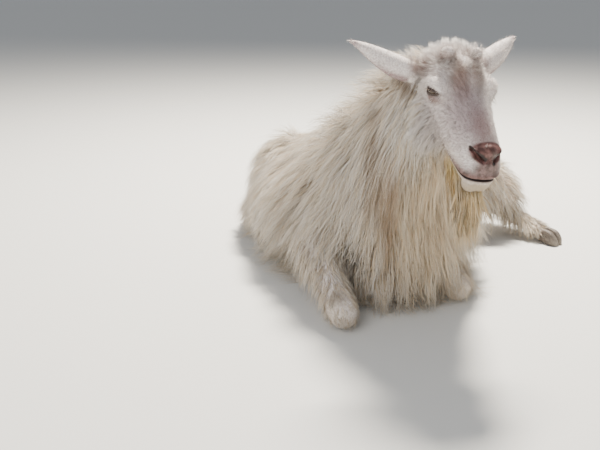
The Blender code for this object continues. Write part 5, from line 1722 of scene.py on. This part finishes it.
def make_studio():
    mesh = bpy.data.meshes.new("floor")
    mesh.from_pydata([(-30, -30, 0), (30, -30, 0), (30, 30, 0), (-30, 30, 0)], [], [(0, 1, 2, 3)])
    floor = add_object("floor", mesh)
    paint = bpy.data.materials.new("pale_floor")
    paint.use_nodes = True
    shader = paint.node_tree.nodes["Principled BSDF"]
    shader.inputs["Base Color"].default_value = (0.70, 0.70, 0.68, 1)
    shader.inputs["Roughness"].default_value = 0.85
    mesh.materials.append(paint)
    world = bpy.data.worlds.new("studio")
    bpy.context.scene.world = world
    world.use_nodes = True
    world.node_tree.nodes["Background"].inputs["Color"].default_value = (0.90, 0.94, 1.0, 1)
    world.node_tree.nodes["Background"].inputs["Strength"].default_value = 0.42
    add_light("sun_side", (0.8, 1.6, 3.2), (0.0, 0.0, 0.3), 0.7, 600, (1.0, 0.92, 0.80))
    add_light("front_fill", (-2.4, -2.6, 2.2), (0.0, 0.1, 0.2), 2.6, 95, (1.0, 0.97, 0.93))


def make_camera():
    camera = bpy.data.cameras.new("camera")
    camera.sensor_width = 36
    camera.lens = CAMERA_LENS
    obj = bpy.data.objects.new("camera", camera)
    bpy.context.scene.collection.objects.link(obj)
    obj.location = CAMERA_PLACE
    fall = math.radians(CAMERA_FALL)
    heading = Vector((CAMERA_HEADING[0], CAMERA_HEADING[1], 0)).normalized()
    way = heading * math.cos(fall) + Vector((0, 0, -math.sin(fall)))
    obj.rotation_mode = "QUATERNION"
    obj.rotation_quaternion = way.to_track_quat("-Z", "Y")
    bpy.context.scene.camera = obj


def dress(piece, material=None, nodes=()):
    """Gives a piece its material and slot, the nodes that it stands for, and its body."""
    if material is not None:
        piece.data.materials.clear()
        piece.data.materials.append(material)
    if nodes:
        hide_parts(*nodes)
    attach(piece, "root")


def main():
    spot = spot_group()
    markings = markings_group(spot)
    # the first colour of each coat is its roots', partly painted shade deep between the locks
    hair_white = coat_material("white_hair", markings, (0.60, 0.50, 0.39), (0.90, 0.86, 0.79),
                               (0.93, 0.80, 0.62))
    hair_cream = coat_material("cream_hair", markings, (0.68, 0.53, 0.34), (0.88, 0.78, 0.60),
                               (0.94, 0.83, 0.64))
    hair_face = coat_material("face_hair", markings, (0.66, 0.57, 0.54), (0.88, 0.84, 0.80),
                              (0.90, 0.80, 0.74), 0.45)

    forms = make_flesh_forms()
    skin = make_skin(forms)
    bare = mark_face(skin.data)
    coats = grow_coat(skin, forms, bare)
    for form in forms.values():
        bpy.data.objects.remove(form, do_unlink=True)

    flesh = ["head", "beard", "ear_right", "ear_left", "neck", "torso", "tail"]
    flesh += [name for name in LIMBS if name != "tail"]
    dress(skin, skin_material(markings), flesh)
    for piece in coats:
        cream = "beard" in piece.name
        face = "head" in piece.name
        material = hair_cream if cream else hair_face if face else hair_white
        dress(piece, material)

    wet = eye_material()
    tree = lash_tree()
    lash = bpy.data.materials.new("pale_lash")
    lash.use_nodes = True
    lash.node_tree.nodes["Principled BSDF"].inputs["Base Color"].default_value = (0.34, 0.26, 0.20, 1)
    lash.node_tree.nodes["Principled BSDF"].inputs["Roughness"].default_value = 0.5
    for name, side in (("right", -1), ("left", 1)):
        dress(make_eye("eyeball_" + name, side), wet, ["eye_" + name])
        for lower in (False, True):
            dress(make_lashes(tree, lash, side, lower))
    horn = hoof_material()
    upward = Vector((0, 0, 1))
    soles = {"front_right": upward, "front_left": upward, "hind_right": Vector((1, 0, -0.3)),
             "hind_left": -upward}
    for place in ("front", "hind"):
        for name in ("right", "left"):
            cannon = LIMBS[f"{place}_cannon_{name}"]
            sole = soles[f"{place}_{name}"]
            hoof = make_hoof(f"{place}_claws_{name}", cannon, sole)
            dress(hoof, horn, [f"{place}_hoof_{name}"])

    make_studio()
    make_camera()


main()
